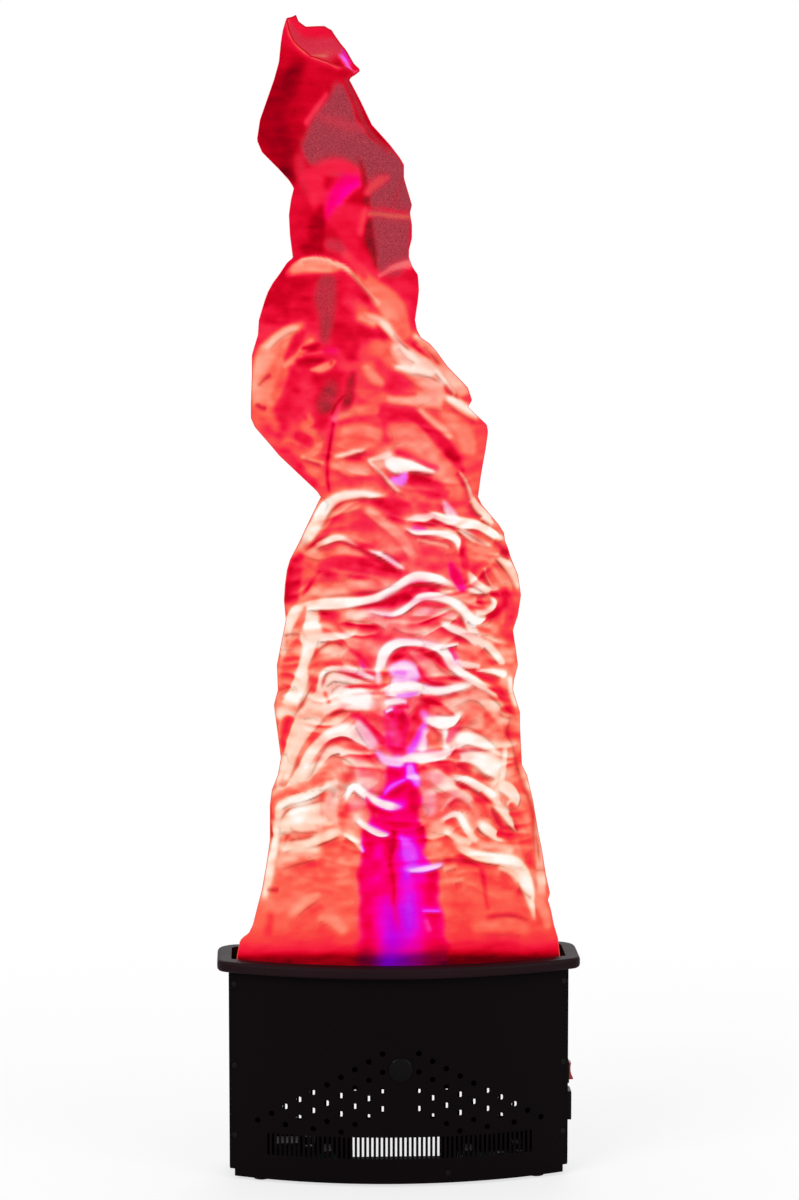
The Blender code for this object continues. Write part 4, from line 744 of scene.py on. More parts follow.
CURL_BANDS = (
    # the lobe that curls back on the left
    Band(0.13, ((284, 282, 14), (292, 292, 24), (280, 302, 20)), soft=5),
    Band(0.18, ((270, 314, 10), (288, 314, 10), (308, 316, 8)), soft=5),
    Band(0.18, ((326, 284, 9), (325, 300, 9), (327, 318, 7), (325, 338, 4)), veil_shade=0.6, soft=4),
    Band(0.17, ((345, 284, 8), (356, 292, 8), (368, 300, 5)), soft=4),
    Band(0.17, ((338, 316, 12), (344, 336, 14), (352, 352, 10)), soft=5),
    Band(0.30, ((348, 302, 6), (362, 308, 7), (376, 314, 5)), soft=6),
    Band(0.50, ((362, 276, 5), (376, 288, 8), (389, 300, 11), (398, 318, 11), (406, 332, 8)),
         soft=3),
    Band(0.58, ((376, 300, 3), (386, 308, 5), (394, 318, 4)), soft=4),
    Band(0.42, ((392, 326, 6), (400, 334, 6)), soft=4),
    Band(0.30, ((346, 252, 4), (356, 264, 5), (364, 276, 4)), soft=3),
    Band(0.66, ((288, 274, 3), (300, 268, 7), (314, 266, 8), (328, 266, 8), (342, 268, 3)),
         soft=3, glow=5),
    Band(0.80, ((300, 262, 1.2), (314, 259, 1.6), (330, 260, 1.6)), soft=2.4, glow=4),
    Band(0.88, ((330, 261, 1.2), (340, 264, 2), (348, 271, 2), (357, 282, 1.6), (368, 292, 1.6),
                (379, 303, 2)), soft=2.4, glow=4),
    Band(0.17, ((360, 326, 6), (376, 332, 6), (390, 340, 5)), soft=4),
    Band(0.86, ((366, 314, 1.4), (376, 317, 3), (385, 323, 4.4), (393, 334, 3.4), (400, 342, 3),
                (408, 350, 2)), soft=3),
    Band(0.66, ((360, 318, 3), (374, 322, 4)), soft=5),
    Band(0.20, ((314, 352, 10), (330, 362, 14), (326, 388, 22), (322, 412, 18)), soft=6),
    Band(0.19, ((300, 372, 10), (292, 392, 12), (284, 412, 12), (278, 428, 8)), soft=5),
    Band(0.28, ((306, 384, 6), (308, 400, 8), (296, 416, 6)), soft=5),
    # the lobe at the left edge, in peach painted light
    Band(0.64, ((302, 327, 2.5), (290, 331, 6), (279, 340, 11), (270, 352, 13), (264, 370, 12),
                (261, 388, 9), (262, 404, 8)), soft=3.5, glow=5),
    Band(0.50, ((283, 352, 5), (279, 368, 9), (272, 386, 9), (270, 404, 6)), soft=4),
    Band(0.40, ((286, 368, 4), (282, 382, 4), (276, 396, 4)), soft=3),
    Band(0.76, ((300, 328, 1.5), (288, 328, 2.5), (274, 336, 2.5), (265, 348, 2)), soft=3),
    Band(0.44, ((266, 410, 6), (276, 426, 5)), soft=4),
    Band(0.16, ((303, 334, 3), (298, 346, 5), (290, 358, 5)), soft=3),
    Band(0.60, ((313, 341, 2.4), (306, 347, 3.4), (302, 356, 3.4), (292, 362, 3.4),
                (286, 366, 2)), soft=2.4),
    Band(0.42, ((303, 354, 1.2), (314, 354, 1.5), (324, 352, 1.5)), soft=2),
    Band(0.13, ((306, 348, 2), (315, 346, 3), (320, 344, 2)), soft=2),
    Band(0.23, ((328, 350, 3), (334, 350, 5)), 0.75, soft=4),
    Band(0.13, ((302, 362, 4), (314, 364, 5), (324, 362, 3)), soft=2.5),
    Band(0.60, ((314, 370, 1.5), (322, 370, 4), (331, 367, 4), (335, 364, 2)), soft=1.8),
    Band(0.34, ((333, 362, 2), (333, 366, 1.5)), soft=1.6),
    Band(0.13, ((333, 388, 7), (330, 396, 9), (326, 404, 9)), veil_shade=0.45, soft=5),
    Band(0.24, ((346, 374, 2), (350, 380, 3), (348, 396, 3)), soft=2.5),
    Band(0.46, ((310, 414, 2), (312, 420, 5), (304, 424, 5), (314, 432, 4)), soft=2.4),
    Band(0.20, ((298, 434, 4), (307, 438, 6), (313, 444, 3)), soft=2.4),
    Band(0.54, ((304, 454, 2), (312, 452, 5), (319, 446, 5), (323, 441, 2)), soft=2.4),
    Band(0.70, ((302, 455, 1.5), (312, 459, 1.8), (323, 463, 1.6)), soft=2),
    Band(0.44, ((282, 441, 1.2), (289, 436, 1.6), (298, 443, 1.4)), soft=2),
    Band(0.46, ((304, 462, 3), (314, 468, 6), (322, 480, 5)), soft=3),
    Band(0.28, ((284, 450, 4), (296, 466, 6), (310, 484, 6)), soft=4),
    Band(0.10, ((354, 376, 3), (352, 392, 5), (348, 408, 5)), veil_shade=0.25, soft=3),
    Band(0.30, ((342, 400, 3), (336, 416, 5), (332, 440, 3)), 0.18, soft=2.4),
    Band(0.09, ((348, 394, 1), (339, 402, 1.4), (334, 414, 1.8)), soft=1.8),
    Band(0.10, ((336, 424, 1.5), (332, 446, 1.8), (328, 464, 1.6), (326, 480, 1.6),
                (328, 492, 1)), soft=1.8),
    # the shoulder on the right: a field of pale painted light with crimson painted shade below it
    Band(0.36, ((366, 356, 8), (374, 372, 10), (368, 390, 8)), soft=5),
    Band(0.46, ((378, 348, 8), (386, 360, 7)), soft=5),
    Band(0.80, ((392, 344, 4), (400, 352, 9), (412, 362, 13), (424, 372, 14), (436, 384, 11),
                (448, 392, 6)), soft=5),
    Band(0.66, ((386, 396, 4), (404, 398, 6), (424, 398, 8), (444, 400, 8)), soft=4),
    Band(0.90, ((393, 369, 2), (406, 371, 3), (420, 371, 3), (436, 376, 2.4), (446, 384, 2)),
         soft=2.6),
    Band(0.90, ((402, 346, 2), (409, 356, 3), (418, 362, 2)), soft=2.6),
    Band(0.24, ((378, 366, 4), (384, 378, 6), (392, 388, 6), (402, 392, 4), (412, 393, 2)),
         soft=3.5),
    Band(0.56, ((366, 370, 3), (374, 378, 4), (382, 382, 3)), soft=3),
    Band(0.84, ((418, 337, 2.5), (428, 344, 2.4), (438, 354, 2)), soft=2.4),
    Band(0.58, ((424, 344, 4), (436, 356, 5), (446, 370, 6), (456, 384, 7), (464, 394, 6)),
         soft=3),
    Band(0.70, ((450, 376, 5), (458, 386, 6), (464, 392, 4)), soft=3),
    Band(0.44, ((448, 388, 3), (454, 396, 3.5)), soft=2),
    Band(0.86, ((436, 372, 1.4), (446, 384, 1.6), (456, 394, 1.2)), soft=2),
    Band(0.34, ((462, 400, 3), (470, 399, 4)), soft=2),
    Band(0.93, ((446, 398, 2), (458, 403, 4.5), (468, 409, 4.5), (478, 416, 2)), soft=3),
    Band(0.50, ((448, 414, 6), (462, 426, 10), (470, 446, 9)), soft=5),
    Band(0.36, ((481, 426, 5), (483, 446, 5), (480, 468, 5), (475, 488, 5)), soft=4),
    Band(0.20, ((384, 412, 6), (398, 416, 7), (412, 414, 6)), soft=4),
    Band(0.26, ((386, 406, 4), (388, 425, 4), (386, 443, 4), (378, 454, 3)), soft=3),
    Band(0.46, ((396, 432, 8), (412, 434, 11), (426, 444, 12), (438, 458, 11), (448, 476, 9),
                (457, 494, 8)), soft=4),
    Band(0.56, ((402, 442, 6), (416, 446, 8), (432, 458, 7), (442, 470, 4)), soft=5),
    Band(0.15, ((405, 412, 4), (420, 416, 6), (434, 430, 7), (446, 446, 7), (456, 458, 5),
                (463, 470, 2.5)), soft=3),
    Band(0.64, ((418, 408, 2), (432, 420, 3), (442, 428, 3.4), (452, 438, 3)), soft=3),
    Band(0.50, ((338, 419, 3), (355, 412, 4), (376, 410, 5)), soft=3),
    Band(0.20, ((343, 424, 1.5), (360, 422, 1.5), (378, 428, 2.5)), soft=2.5),
    Band(0.56, ((350, 431, 5), (362, 430, 8), (376, 433, 6)), soft=4),
    Band(0.44, ((340, 446, 5), (356, 443, 6), (370, 443, 5)), soft=4),
    Band(0.38, ((338, 488, 5), (360, 486, 8), (384, 488, 6)), soft=4),
    Band(0.64, ((336, 468, 4), (348, 470, 8), (364, 470, 6)), soft=4),
    Band(0.90, ((336, 459, 1.5), (348, 456, 2.4), (358, 452, 2.4), (366, 449, 1.2)), soft=2.4),
    Band(0.30, ((364, 458, 3), (374, 452, 3), (384, 446, 2)), soft=2.5),
    # the bright hollow under the shoulder
    Band(0.22, ((410, 478, 5), (424, 486, 10), (436, 490, 10), (446, 494, 5)), soft=3),
    Band(0.76, ((370, 461, 1.5), (378, 458, 3), (388, 455, 3)), soft=1.5),
    Band(0.50, ((376, 463, 1.2), (381, 466, 2.5)), soft=1.4),
    Band(0.24, ((398, 452, 2), (416, 461, 2), (436, 468, 3)), 0.15, soft=2.5),
    Band(1.00, ((388, 460, 4), (394, 466, 8), (402, 467, 7), (412, 468, 4.4), (424, 471, 2.6),
                (434, 472, 1.4)), 0.10, soft=2),
    Band(1.00, ((390, 464, 5), (398, 468, 7), (404, 470, 5)), 0.10, soft=2.4),
    Band(0.62, ((394, 481, 3), (401, 482, 5), (404, 478, 4)), 0.90, soft=2.4),
    Band(0.90, ((369, 462, 1.2), (382, 474, 1.8), (391, 485, 1.8), (399, 492, 1.4)), 0.0,
         soft=2.2),
    Band(0.86, ((460, 471, 0.8), (466, 479, 1.4), (470, 490, 1.4), (475, 503, 2)), soft=1.2),
    Band(0.86, ((475, 503, 2.5), (480, 511, 4), (489, 518, 3)), soft=1.6),
)
BELT_BANDS = (
    # the belt of arched folds between the two waists
    Band(0.20, ((298, 558, 5), (293, 576, 7), (290, 595, 8), (289, 612, 4)), soft=2.5),
    Band(0.19, ((378, 503, 6), (390, 508, 12), (402, 514, 12), (408, 524, 5)), soft=3),
    Band(0.64, ((316, 531, 4), (326, 522, 6), (338, 511, 4), (350, 508, 5), (364, 506, 3)),
         soft=2.5),
    Band(0.94, ((301, 549, 3), (310, 535, 6.5), (318, 522, 7), (326, 508, 6.5), (336, 499, 5),
                (350, 495, 5), (364, 495, 4), (376, 496, 3), (385, 497, 1.2)), soft=2.2),
    Band(0.36, ((340, 522, 6), (356, 530, 10), (370, 541, 8)), soft=3.5),
    Band(0.62, ((366, 511, 3), (378, 520, 4.5), (390, 528, 4.5), (400, 536, 4.5), (408, 548, 5),
                (414, 557, 4)), soft=2.5),
    Band(0.45, ((384, 540, 7), (396, 551, 7)), soft=3),
    Band(0.60, ((307, 550, 5), (318, 553, 7), (330, 552, 6), (345, 550, 5), (360, 555, 4)),
         soft=2.5),
    Band(0.38, ((304, 566, 5), (316, 572, 7)), soft=4),
    Band(0.22, ((322, 566, 4), (340, 564, 7), (360, 565, 9), (380, 569, 9), (397, 575, 5)),
         soft=3),
    Band(0.60, ((304, 589, 3), (325, 588, 5.5), (345, 586, 6), (365, 586, 5), (386, 585, 3)),
         soft=3),
    Band(0.22, ((302, 592, 1.5), (310, 582, 2), (319, 572, 1.5)), soft=2),
    Band(0.90, ((315, 546, 2.5), (330, 541, 3.6), (342, 538, 3.4), (350, 541, 2.4),
                (359, 546, 1.2)), soft=1.6),
    Band(0.92, ((370, 549, 1.2), (380, 553, 2.8), (390, 560, 3.2), (398, 567, 2.8),
                (405, 571, 1.2)), 0.1, soft=1.4),
    Band(0.20, ((366, 609, 2), (378, 606, 4), (392, 603, 6), (406, 600, 7), (420, 594, 5),
                (438, 592, 3)), 0.15, soft=2),
    Band(0.92, ((288, 634, 5), (291, 622, 6), (298, 610, 6)), soft=2),
    Band(0.92, ((312, 612, 7), (314, 628, 9), (320, 640, 7)), soft=2.5),
    Band(1.00, ((296, 609, 3), (308, 603, 5), (325, 603, 6), (345, 602, 5), (362, 600, 4.5),
                (378, 596, 4), (392, 591, 3.6), (402, 586, 4), (412, 580, 5), (424, 577, 5),
                (438, 578, 4.5), (447, 583, 3), (453, 587, 1.2)), soft=1.6),
    Band(0.52, ((305, 606, 1.5), (303, 619, 4), (301, 630, 4)), soft=1.8),
    Band(0.46, ((304, 634, 2), (300, 645, 4), (296, 652, 4)), soft=1.8),
    Band(0.36, ((322, 621, 1.5), (330, 618, 5.5), (340, 619, 4), (354, 626, 2), (372, 630, 3),
                (380, 638, 5)), soft=1.8),
    Band(0.68, ((345, 614, 4), (360, 614, 6), (378, 618, 5), (392, 626, 5)), soft=2.5),
    Band(0.96, ((320, 636, 4), (334, 636, 4.5), (346, 635, 3.4), (356, 634, 1.5)), soft=2),
    Band(0.62, ((396, 624, 4), (410, 629, 6), (426, 632, 4)), soft=2.5),
    Band(0.34, ((395, 637, 3), (410, 639, 2), (426, 640, 2)), soft=2),
    Band(0.72, ((414, 613, 4), (430, 612, 5), (448, 614, 5), (461, 618, 3.5)), soft=1.8),
    Band(0.32, ((432, 622, 4), (440, 628, 5), (448, 636, 4), (460, 640, 3)), soft=2),
    Band(0.99, ((371, 611, 1), (383, 614, 2.2), (394, 616, 3), (406, 611, 3), (416, 604, 3),
                (424, 598, 4), (434, 597, 4), (446, 600, 4), (456, 605, 4), (464, 611, 4),
                (470, 619, 5), (474, 630, 4.5), (480, 640, 4), (489, 649, 2.5)), soft=1.5),
    Band(0.90, ((443, 622, 1.5), (450, 627, 3.8), (460, 631, 4.4), (470, 636, 4), (480, 645, 4)),
         soft=1.5),
    Band(0.62, ((440, 589, 2.5), (452, 593, 4), (466, 599, 5), (477, 604, 4)), soft=1.8),
    Band(0.20, ((478, 602, 3), (482, 606, 2)), soft=1.6),
    # the folds under the shoulder, painted white where the light strikes them
    Band(0.76, ((446, 503, 2), (452, 510, 5), (456, 518, 5)), 0.3, soft=2.5),
    Band(1.00, ((409, 522, 3.6), (416, 518, 3.6), (426, 517, 3.6), (433, 513, 3), (444, 516, 4),
                (455, 520, 5), (466, 524, 6), (478, 526, 4), (488, 531, 4), (498, 537, 3.6),
                (504, 538, 1.6)), soft=1.5),
    Band(0.55, ((421, 527, 1), (430, 527, 3), (440, 526, 3), (450, 530, 3), (458, 535, 1.5)),
         soft=1.5),
    Band(0.34, ((414, 529, 2), (424, 529, 2.4)), 0.5, soft=1.8),
    Band(1.00, ((407, 530, 1), (416, 534, 2.4), (428, 533, 3), (440, 533, 3.4), (452, 537, 4),
                (459, 542, 4), (460, 552, 2)), soft=1.4),
    Band(0.80, ((460, 529, 2.5), (472, 538, 3.6), (482, 543, 2.6), (491, 545, 1.2)), soft=1.4),
    Band(0.60, ((420, 541, 1.5), (434, 544, 2), (448, 548, 2)), soft=1.6),
    Band(0.20, ((464, 540, 2), (464, 552, 4.5), (467, 566, 4)), soft=2.2),
    Band(0.54, ((474, 552, 7), (487, 556, 8)), soft=3),
    Band(0.40, ((484, 566, 5), (482, 580, 5)), soft=3),
    Band(0.84, ((484, 519, 2), (492, 524, 2)), soft=1.6),
    Band(0.50, ((496, 526, 2), (501, 532, 3)), soft=1.6),
    Band(0.35, ((496, 542, 3), (503, 550, 4), (509, 557, 2)), soft=2),
    Band(0.62, ((495, 564, 4), (504, 576, 6), (508, 588, 5)), soft=3),
    Band(0.88, ((500, 556, 3), (509, 565, 4), (516, 576, 4), (519, 590, 3)), soft=2.2),
    Band(0.24, ((452, 565, 2.5), (457, 576, 5.5), (462, 588, 4)), 0.85, soft=2),
    Band(0.20, ((464, 590, 3), (466, 582, 2)), soft=2),
    Band(0.22, ((504, 592, 4), (509, 606, 6), (510, 620, 5)), soft=2.5),
    Band(0.42, ((492, 628, 6), (503, 628, 6), (508, 642, 5)), soft=3),
    Band(0.18, ((503, 596, 3), (500, 606, 6), (492, 614, 5), (484, 622, 2)), soft=2),
    Band(0.88, ((490, 598, 2), (493, 606, 2.6), (486, 613, 3), (475, 614, 3)), soft=1.5),
    Band(1.00, ((470, 618, 3), (478, 622, 4.5), (485, 619, 1.5)), soft=1.8),
    Band(0.86, ((470, 573, 1.5), (473, 580, 4.5), (478, 588, 5.5), (486, 592, 3)), soft=1.8),
    Band(1.00, ((467, 592, 2), (480, 592, 4.5), (490, 590, 2.6), (498, 590, 1.2)), soft=1.6),
    Band(0.74, ((487, 570, 0.8), (489, 580, 1.6), (492, 589, 2)), soft=1.4),
    Band(0.18, ((491, 595, 2.5), (496, 597, 3.5), (500, 603, 2.5)), soft=1.5),
)
LOWER_BANDS = (
    # the ground between the folds, in pale painted light
    Band(0.66, ((292, 528, 9), (291, 545, 9)), soft=4),
    Band(0.84, ((294, 640, 12), (294, 680, 13), (296, 720, 16), (298, 756, 14), (298, 800, 22),
                (302, 834, 22)), soft=6, glow=1),
    Band(0.84, ((322, 684, 9), (346, 692, 13), (366, 700, 9)), soft=5, glow=1),
    Band(0.70, ((304, 712, 10), (322, 708, 8)), soft=4, glow=1),
    Band(0.52, ((336, 766, 9), (352, 766, 12), (368, 780, 10), (380, 792, 6)), soft=5, glow=1),
    Band(0.80, ((458, 742, 7), (478, 744, 13), (492, 762, 12), (504, 774, 6)), soft=5, glow=1),
    Band(0.68, ((434, 776, 9), (450, 786, 10), (466, 796, 8)), soft=5, glow=1),
    Band(0.66, ((440, 704, 7), (458, 700, 9), (478, 699, 9), (492, 708, 9), (502, 722, 8)),
         soft=5, glow=1),
    # left of the middle
    Band(0.94, ((312, 634, 8), (304, 655, 8), (298, 680, 8), (291, 702, 7), (285, 716, 4)),
         soft=2.2),
    Band(0.36, ((298, 644, 5), (291, 660, 7), (287, 673, 7), (284, 686, 5), (281, 698, 3)),
         soft=2.5),
    Band(0.80, ((284, 640, 3), (283, 652, 3)), soft=2),
    Band(0.56, ((281, 706, 3), (292, 709, 4)), soft=2.5),
    Band(0.20, ((289, 720, 4.5), (285, 736, 4.5), (283, 750, 2)), soft=2.2),
    Band(0.78, ((334, 682, 6), (320, 700, 12), (306, 722, 12), (297, 738, 8), (291, 756, 6)),
         soft=3),
    Band(0.93, ((322, 712, 5), (338, 700, 11), (356, 699, 12), (372, 705, 7)), soft=3),
    Band(0.60, ((300, 716, 3), (312, 711, 5), (320, 716, 3)), soft=3),
    Band(0.46, ((325, 694, 1.8), (329, 703, 1.8)), soft=2),
    Band(0.52, ((309, 673, 3), (316, 660, 5), (328, 652, 5), (345, 654, 5), (360, 661, 4)),
         soft=2.5),
    Band(0.34, ((309, 668, 2), (322, 661, 2.5), (340, 661, 3), (360, 664, 3)), soft=2),
    Band(0.20, ((352, 651, 1.2), (361, 657, 2.4), (368, 667, 4), (377, 673, 2.5)), 0.12,
         soft=1.8),
    Band(0.30, ((363, 661, 1), (365, 666, 1.6)), 0.9, soft=2),
    Band(0.38, ((318, 667, 1.5), (315, 680, 2.6), (312, 690, 2)), soft=1.8),
    Band(0.96, ((319, 690, 1.5), (320, 677, 2.2), (327, 669, 2.6), (340, 668, 2.6), (355, 670, 3),
                (368, 675, 3), (379, 681, 1.5)), soft=1.4),
    Band(0.84, ((324, 686, 2), (332, 676, 4), (346, 677, 4), (362, 682, 2.5)), soft=2),
    Band(0.40, ((352, 686, 1.2), (368, 683, 3), (380, 684, 5), (388, 693, 5), (392, 701, 2)),
         soft=2),
    Band(0.56, ((376, 698, 4), (384, 708, 4), (382, 716, 3)), soft=2.5),
    Band(0.36, ((284, 782, 3.5), (290, 770, 4), (300, 757, 3), (311, 742, 3), (318, 732, 3),
                (328, 724, 3), (338, 718, 2.5), (348, 715, 2)), soft=1.6),
    Band(0.97, ((300, 777, 3.5), (306, 765, 5), (314, 752, 5), (322, 742, 5), (333, 732, 6),
                (345, 729, 7), (356, 735, 7), (366, 742, 5), (373, 749, 2.5)), soft=2),
    Band(0.74, ((358, 724, 3), (366, 734, 5), (374, 744, 4)), 0.22, soft=2.5),
    Band(0.17, ((352, 717, 1.6), (360, 719, 2), (367, 727, 2), (375, 735, 2.4), (383, 742, 4)),
         0.35, soft=1.6),
    Band(0.74, ((298, 748, 4), (290, 764, 4), (287, 776, 2)), soft=2),
    Band(0.70, ((310, 772, 5), (320, 759, 5), (333, 750, 5), (348, 755, 5), (362, 764, 5)),
         soft=2.2),
    Band(0.84, ((321, 764, 2.5), (329, 754, 2.5), (340, 752, 2)), soft=2),
    Band(0.36, ((311, 781, 3), (321, 770, 2.8), (332, 760, 2.5), (340, 764, 2.4), (345, 775, 2.4),
                (343, 788, 2.6)), soft=1.6),
    Band(0.36, ((337, 744, 1.8), (348, 748, 2.8), (359, 751, 1.6), (368, 757, 1.6),
                (376, 766, 1.8), (385, 775, 2)), soft=1.6),
    Band(0.60, ((358, 762, 4), (364, 778, 9), (374, 786, 7), (370, 800, 5), (354, 806, 5)),
         0.12, soft=3),
    # left edge and the stacked folds in pale painted light
    Band(0.36, ((283, 795, 4), (290, 790, 5), (300, 787, 6), (312, 783, 4.5), (321, 776, 2)),
         soft=2.2),
    Band(0.34, ((272, 835, 1.5), (272, 818, 2.5), (274, 804, 3), (281, 793, 4)), soft=1.8),
    Band(0.72, ((330, 778, 6), (332, 795, 8), (332, 812, 8), (332, 828, 7)), soft=3),
    Band(0.92, ((285, 824, 6), (290, 816, 8), (302, 820, 10), (318, 820, 9)), soft=3),
    Band(0.97, ((282, 806, 2), (290, 801, 3), (300, 800, 3.6), (311, 796, 4), (320, 790, 3),
                (328, 785, 1.2)), soft=1.8),
    Band(0.60, ((280, 846, 2), (288, 837, 3.4), (300, 834.5, 2.4), (312, 834, 1.6),
                (318, 833, 0.8)), soft=1.5),
    Band(0.92, ((277, 824, 3), (275, 840, 3.4), (273, 858, 4), (271, 878, 4.4), (266, 898, 2.4)),
         soft=2.2),
    Band(0.86, ((282, 850, 2.5), (292, 844, 3.6), (305, 843, 4), (320, 839, 4.5), (336, 834, 4)),
         soft=3),
    Band(0.68, ((280, 862, 5), (296, 856, 6), (314, 852, 6)), soft=5),
    Band(0.38, ((345, 794, 2.6), (348, 808, 2.8), (344, 820, 2.8), (343, 832, 2.8)), soft=1.8),
    Band(0.98, ((347, 801, 1.4), (349, 790, 3.6), (355, 786, 3.8), (363, 793, 4), (372, 799, 3),
                (382, 804, 4), (392, 806, 4.6), (404, 807, 1.4)), 0.12, soft=1.5),
    Band(0.20, ((368, 799, 1.4), (373, 808, 3.4), (377, 816, 2.6)), 0.5, soft=1.6),
    Band(0.96, ((358, 820, 3), (366, 828, 3.6), (376, 833, 3.8), (388, 834, 1.4)), 0.15,
         soft=1.6),
    Band(0.90, ((344, 837, 1.6), (354, 841, 3.2), (362, 850, 1.2)), soft=1.8),
    # right of the middle
    Band(0.34, ((458, 648, 4), (470, 650, 7), (482, 656, 7), (497, 664, 5)), soft=2),
    Band(0.20, ((452, 650, 2.6), (456, 660, 4), (460, 669, 2)), 0.4, soft=1.8),
    Band(0.42, ((506, 642, 5), (510, 656, 6), (513, 670, 5), (511, 681, 3)), soft=2.2),
    Band(0.86, ((488, 644, 3.5), (497, 652, 4), (503, 662, 3)), soft=2),
    Band(0.86, ((459, 663, 1.8), (467, 667, 4), (479, 668, 2.6)), soft=1.8),
    Band(1.00, ((479, 673, 1.2), (492, 672, 2.8), (504, 675, 3.8)), soft=1.6),
    Band(0.84, ((511, 680, 2), (514, 692, 3), (516, 704, 2)), soft=2),
    Band(0.20, ((393, 668, 3), (398, 657, 4.5), (408, 651, 3.4), (420, 651, 3), (431, 657, 3.4),
                (440, 663, 4), (447, 669, 2)), soft=2),
    Band(0.66, ((409, 653, 1.8), (420, 660, 5), (434, 671, 7), (450, 680, 6), (469, 685, 1.8)),
         soft=2.4),
    Band(1.00, ((379, 684, 1.6), (381, 672, 4), (384, 658, 5), (391, 648, 5), (402, 643, 4),
                (420, 644, 3), (436, 648, 4), (447, 655, 5), (453, 667, 5), (463, 676, 4.6),
                (474, 682, 4), (486, 691, 3), (499, 698, 1.4)), soft=1.5),
    Band(0.98, ((440, 648, 2), (450, 647, 2), (459, 645, 1)), soft=1.5),
    Band(0.24, ((478, 675, 1.6), (488, 681, 3.6), (498, 688, 4), (506, 697, 4), (511, 707, 4),
                (515, 715, 1.6)), soft=1.8),
    Band(0.66, ((441, 712, 3.6), (450, 705, 5), (462, 698, 5), (476, 696, 5), (488, 701, 6),
                (500, 713, 6), (507, 726, 5)), soft=2.4),
    Band(0.42, ((461, 720, 3), (475, 711, 3.6), (487, 714, 4), (496, 726, 5), (501, 742, 5)),
         soft=2.4),
    Band(0.38, ((386, 672, 4), (389, 684, 5), (390, 694, 3)), 0.0, soft=2.5),
    Band(0.82, ((396, 670, 6), (405, 669, 9), (414, 677, 7)), 0.60, soft=3),
    Band(0.66, ((398, 673, 2.2), (404, 674, 2.4)), 0.9, soft=3),
    Band(0.74, ((399, 682, 6), (411, 684, 6)), 0.66, soft=3),
    Band(1.00, ((384, 692, 4), (394, 691, 8), (404, 691, 8), (415, 690, 8), (428, 692, 6),
                (440, 693, 4), (456, 690, 3.4), (472, 687, 2)), 0.08, soft=1.8),
    Band(0.20, ((418, 668, 1), (424, 677, 1.4), (432, 684, 1.4), (444, 686, 1)), 0.3, soft=1.4),
    Band(0.62, ((400, 698, 2.4), (410, 697, 3), (419, 695, 1.4)), 0.95, soft=2),
    Band(0.97, ((388, 704, 3), (397, 703, 3.6), (406, 704, 2.2)), 0.12, soft=1.8),
    Band(0.22, ((392, 716, 7), (401, 726, 12), (397, 740, 12)), 0.75, soft=3),
    Band(0.32, ((385, 722, 4), (391, 730, 6), (398, 740, 5)), 0.40, soft=4),
    Band(0.15, ((402, 714, 2), (402, 727, 4)), 0.6, soft=3),
    Band(0.26, ((438, 702, 4), (428, 701, 5), (423, 712, 7), (416, 728, 7), (410, 742, 4)), 0.12,
         soft=2.4),
    Band(0.13, ((384, 713, 1.2), (394, 709, 1.8), (408, 709, 1.8)), 0.5, soft=1.6),
    Band(0.90, ((386, 713, 1.6), (391, 711, 1.4)), 0.4, soft=1.6),
    Band(0.22, ((424, 697, 1), (433, 702, 2.2), (443, 706, 1.4)), soft=1.5),
    Band(0.50, ((440, 712, 4), (450, 712, 4)), soft=2.5),
    Band(0.60, ((424, 716, 4), (428, 722, 4)), 0.6, soft=3),
    Band(1.00, ((426, 722, 3), (436, 724, 6), (448, 725, 6.6), (456, 721, 4), (462, 715, 1.6)),
         0.06, soft=1.8),
    Band(0.52, ((424, 728, 3), (418, 740, 4.5), (411, 750, 4)), 0.95, soft=3),
    Band(0.86, ((426, 734, 3), (423, 746, 4)), 0.35, soft=3),
    Band(0.96, ((447, 734, 3), (449, 744, 3), (446, 753, 4)), 0.05, soft=2.4),
    Band(0.36, ((430, 737, 3), (436, 741, 4.6), (442, 748, 2.2)), 0.0, soft=1.8),
    Band(0.94, ((458, 743, 5), (468, 736, 7), (480, 740, 7), (490, 748, 5)), soft=2),
    Band(0.36, ((450, 741, 3), (455, 734, 3.6), (462, 727, 2)), 0.2, soft=2.4),
    Band(0.80, ((379, 754, 3), (388, 761, 5), (399, 761, 6)), 0.55, soft=2.6),
    Band(1.00, ((402, 758, 3), (412, 756, 5.4), (430, 756, 5.6), (448, 752, 4),
                (457, 747, 2)), 0.06, soft=1.8),
    Band(0.92, ((460, 757, 4), (478, 758, 6), (492, 765, 9), (502, 772, 6)), soft=2),
    Band(0.36, ((450, 757, 3), (460, 757, 1.6)), soft=1.8),
    Band(0.34, ((456, 762, 1.2), (466, 767, 2.2), (475, 772, 1.2)), soft=1.5),
    Band(0.36, ((424, 766, 4), (440, 765, 5), (449, 770, 4), (456, 777, 2.6)), soft=1.8),
    Band(0.70, ((432, 773, 7), (444, 782, 8), (458, 790, 7), (470, 800, 3)), soft=2.6),
    Band(0.64, ((430, 796, 6), (432, 812, 5)), 0.15, soft=3),
    Band(0.50, ((510, 748, 4), (512, 764, 4), (513, 782, 4)), soft=2.2),
    Band(0.86, ((505, 750, 2), (505, 766, 2.5), (505, 778, 2)), soft=2),
    Band(0.40, ((460, 784, 3), (472, 789, 5), (484, 799, 6), (490, 812, 6), (498, 824, 6),
                (509, 834, 5)), soft=2),
    Band(1.00, ((455, 777, 2), (468, 778, 3.8), (480, 785, 5), (492, 795, 5.6), (498, 805, 2)),
         soft=1.6),
    Band(0.95, ((500, 784, 5), (512, 789, 7), (515, 799, 4.4), (508, 807, 4.6)), soft=1.8),
    Band(0.66, ((499, 786, 1), (497, 798, 1.4)), soft=1.4),
    Band(0.22, ((482, 792, 1), (490, 803, 1.6), (497, 816, 1.6), (501, 824, 0.8)), soft=1.4),
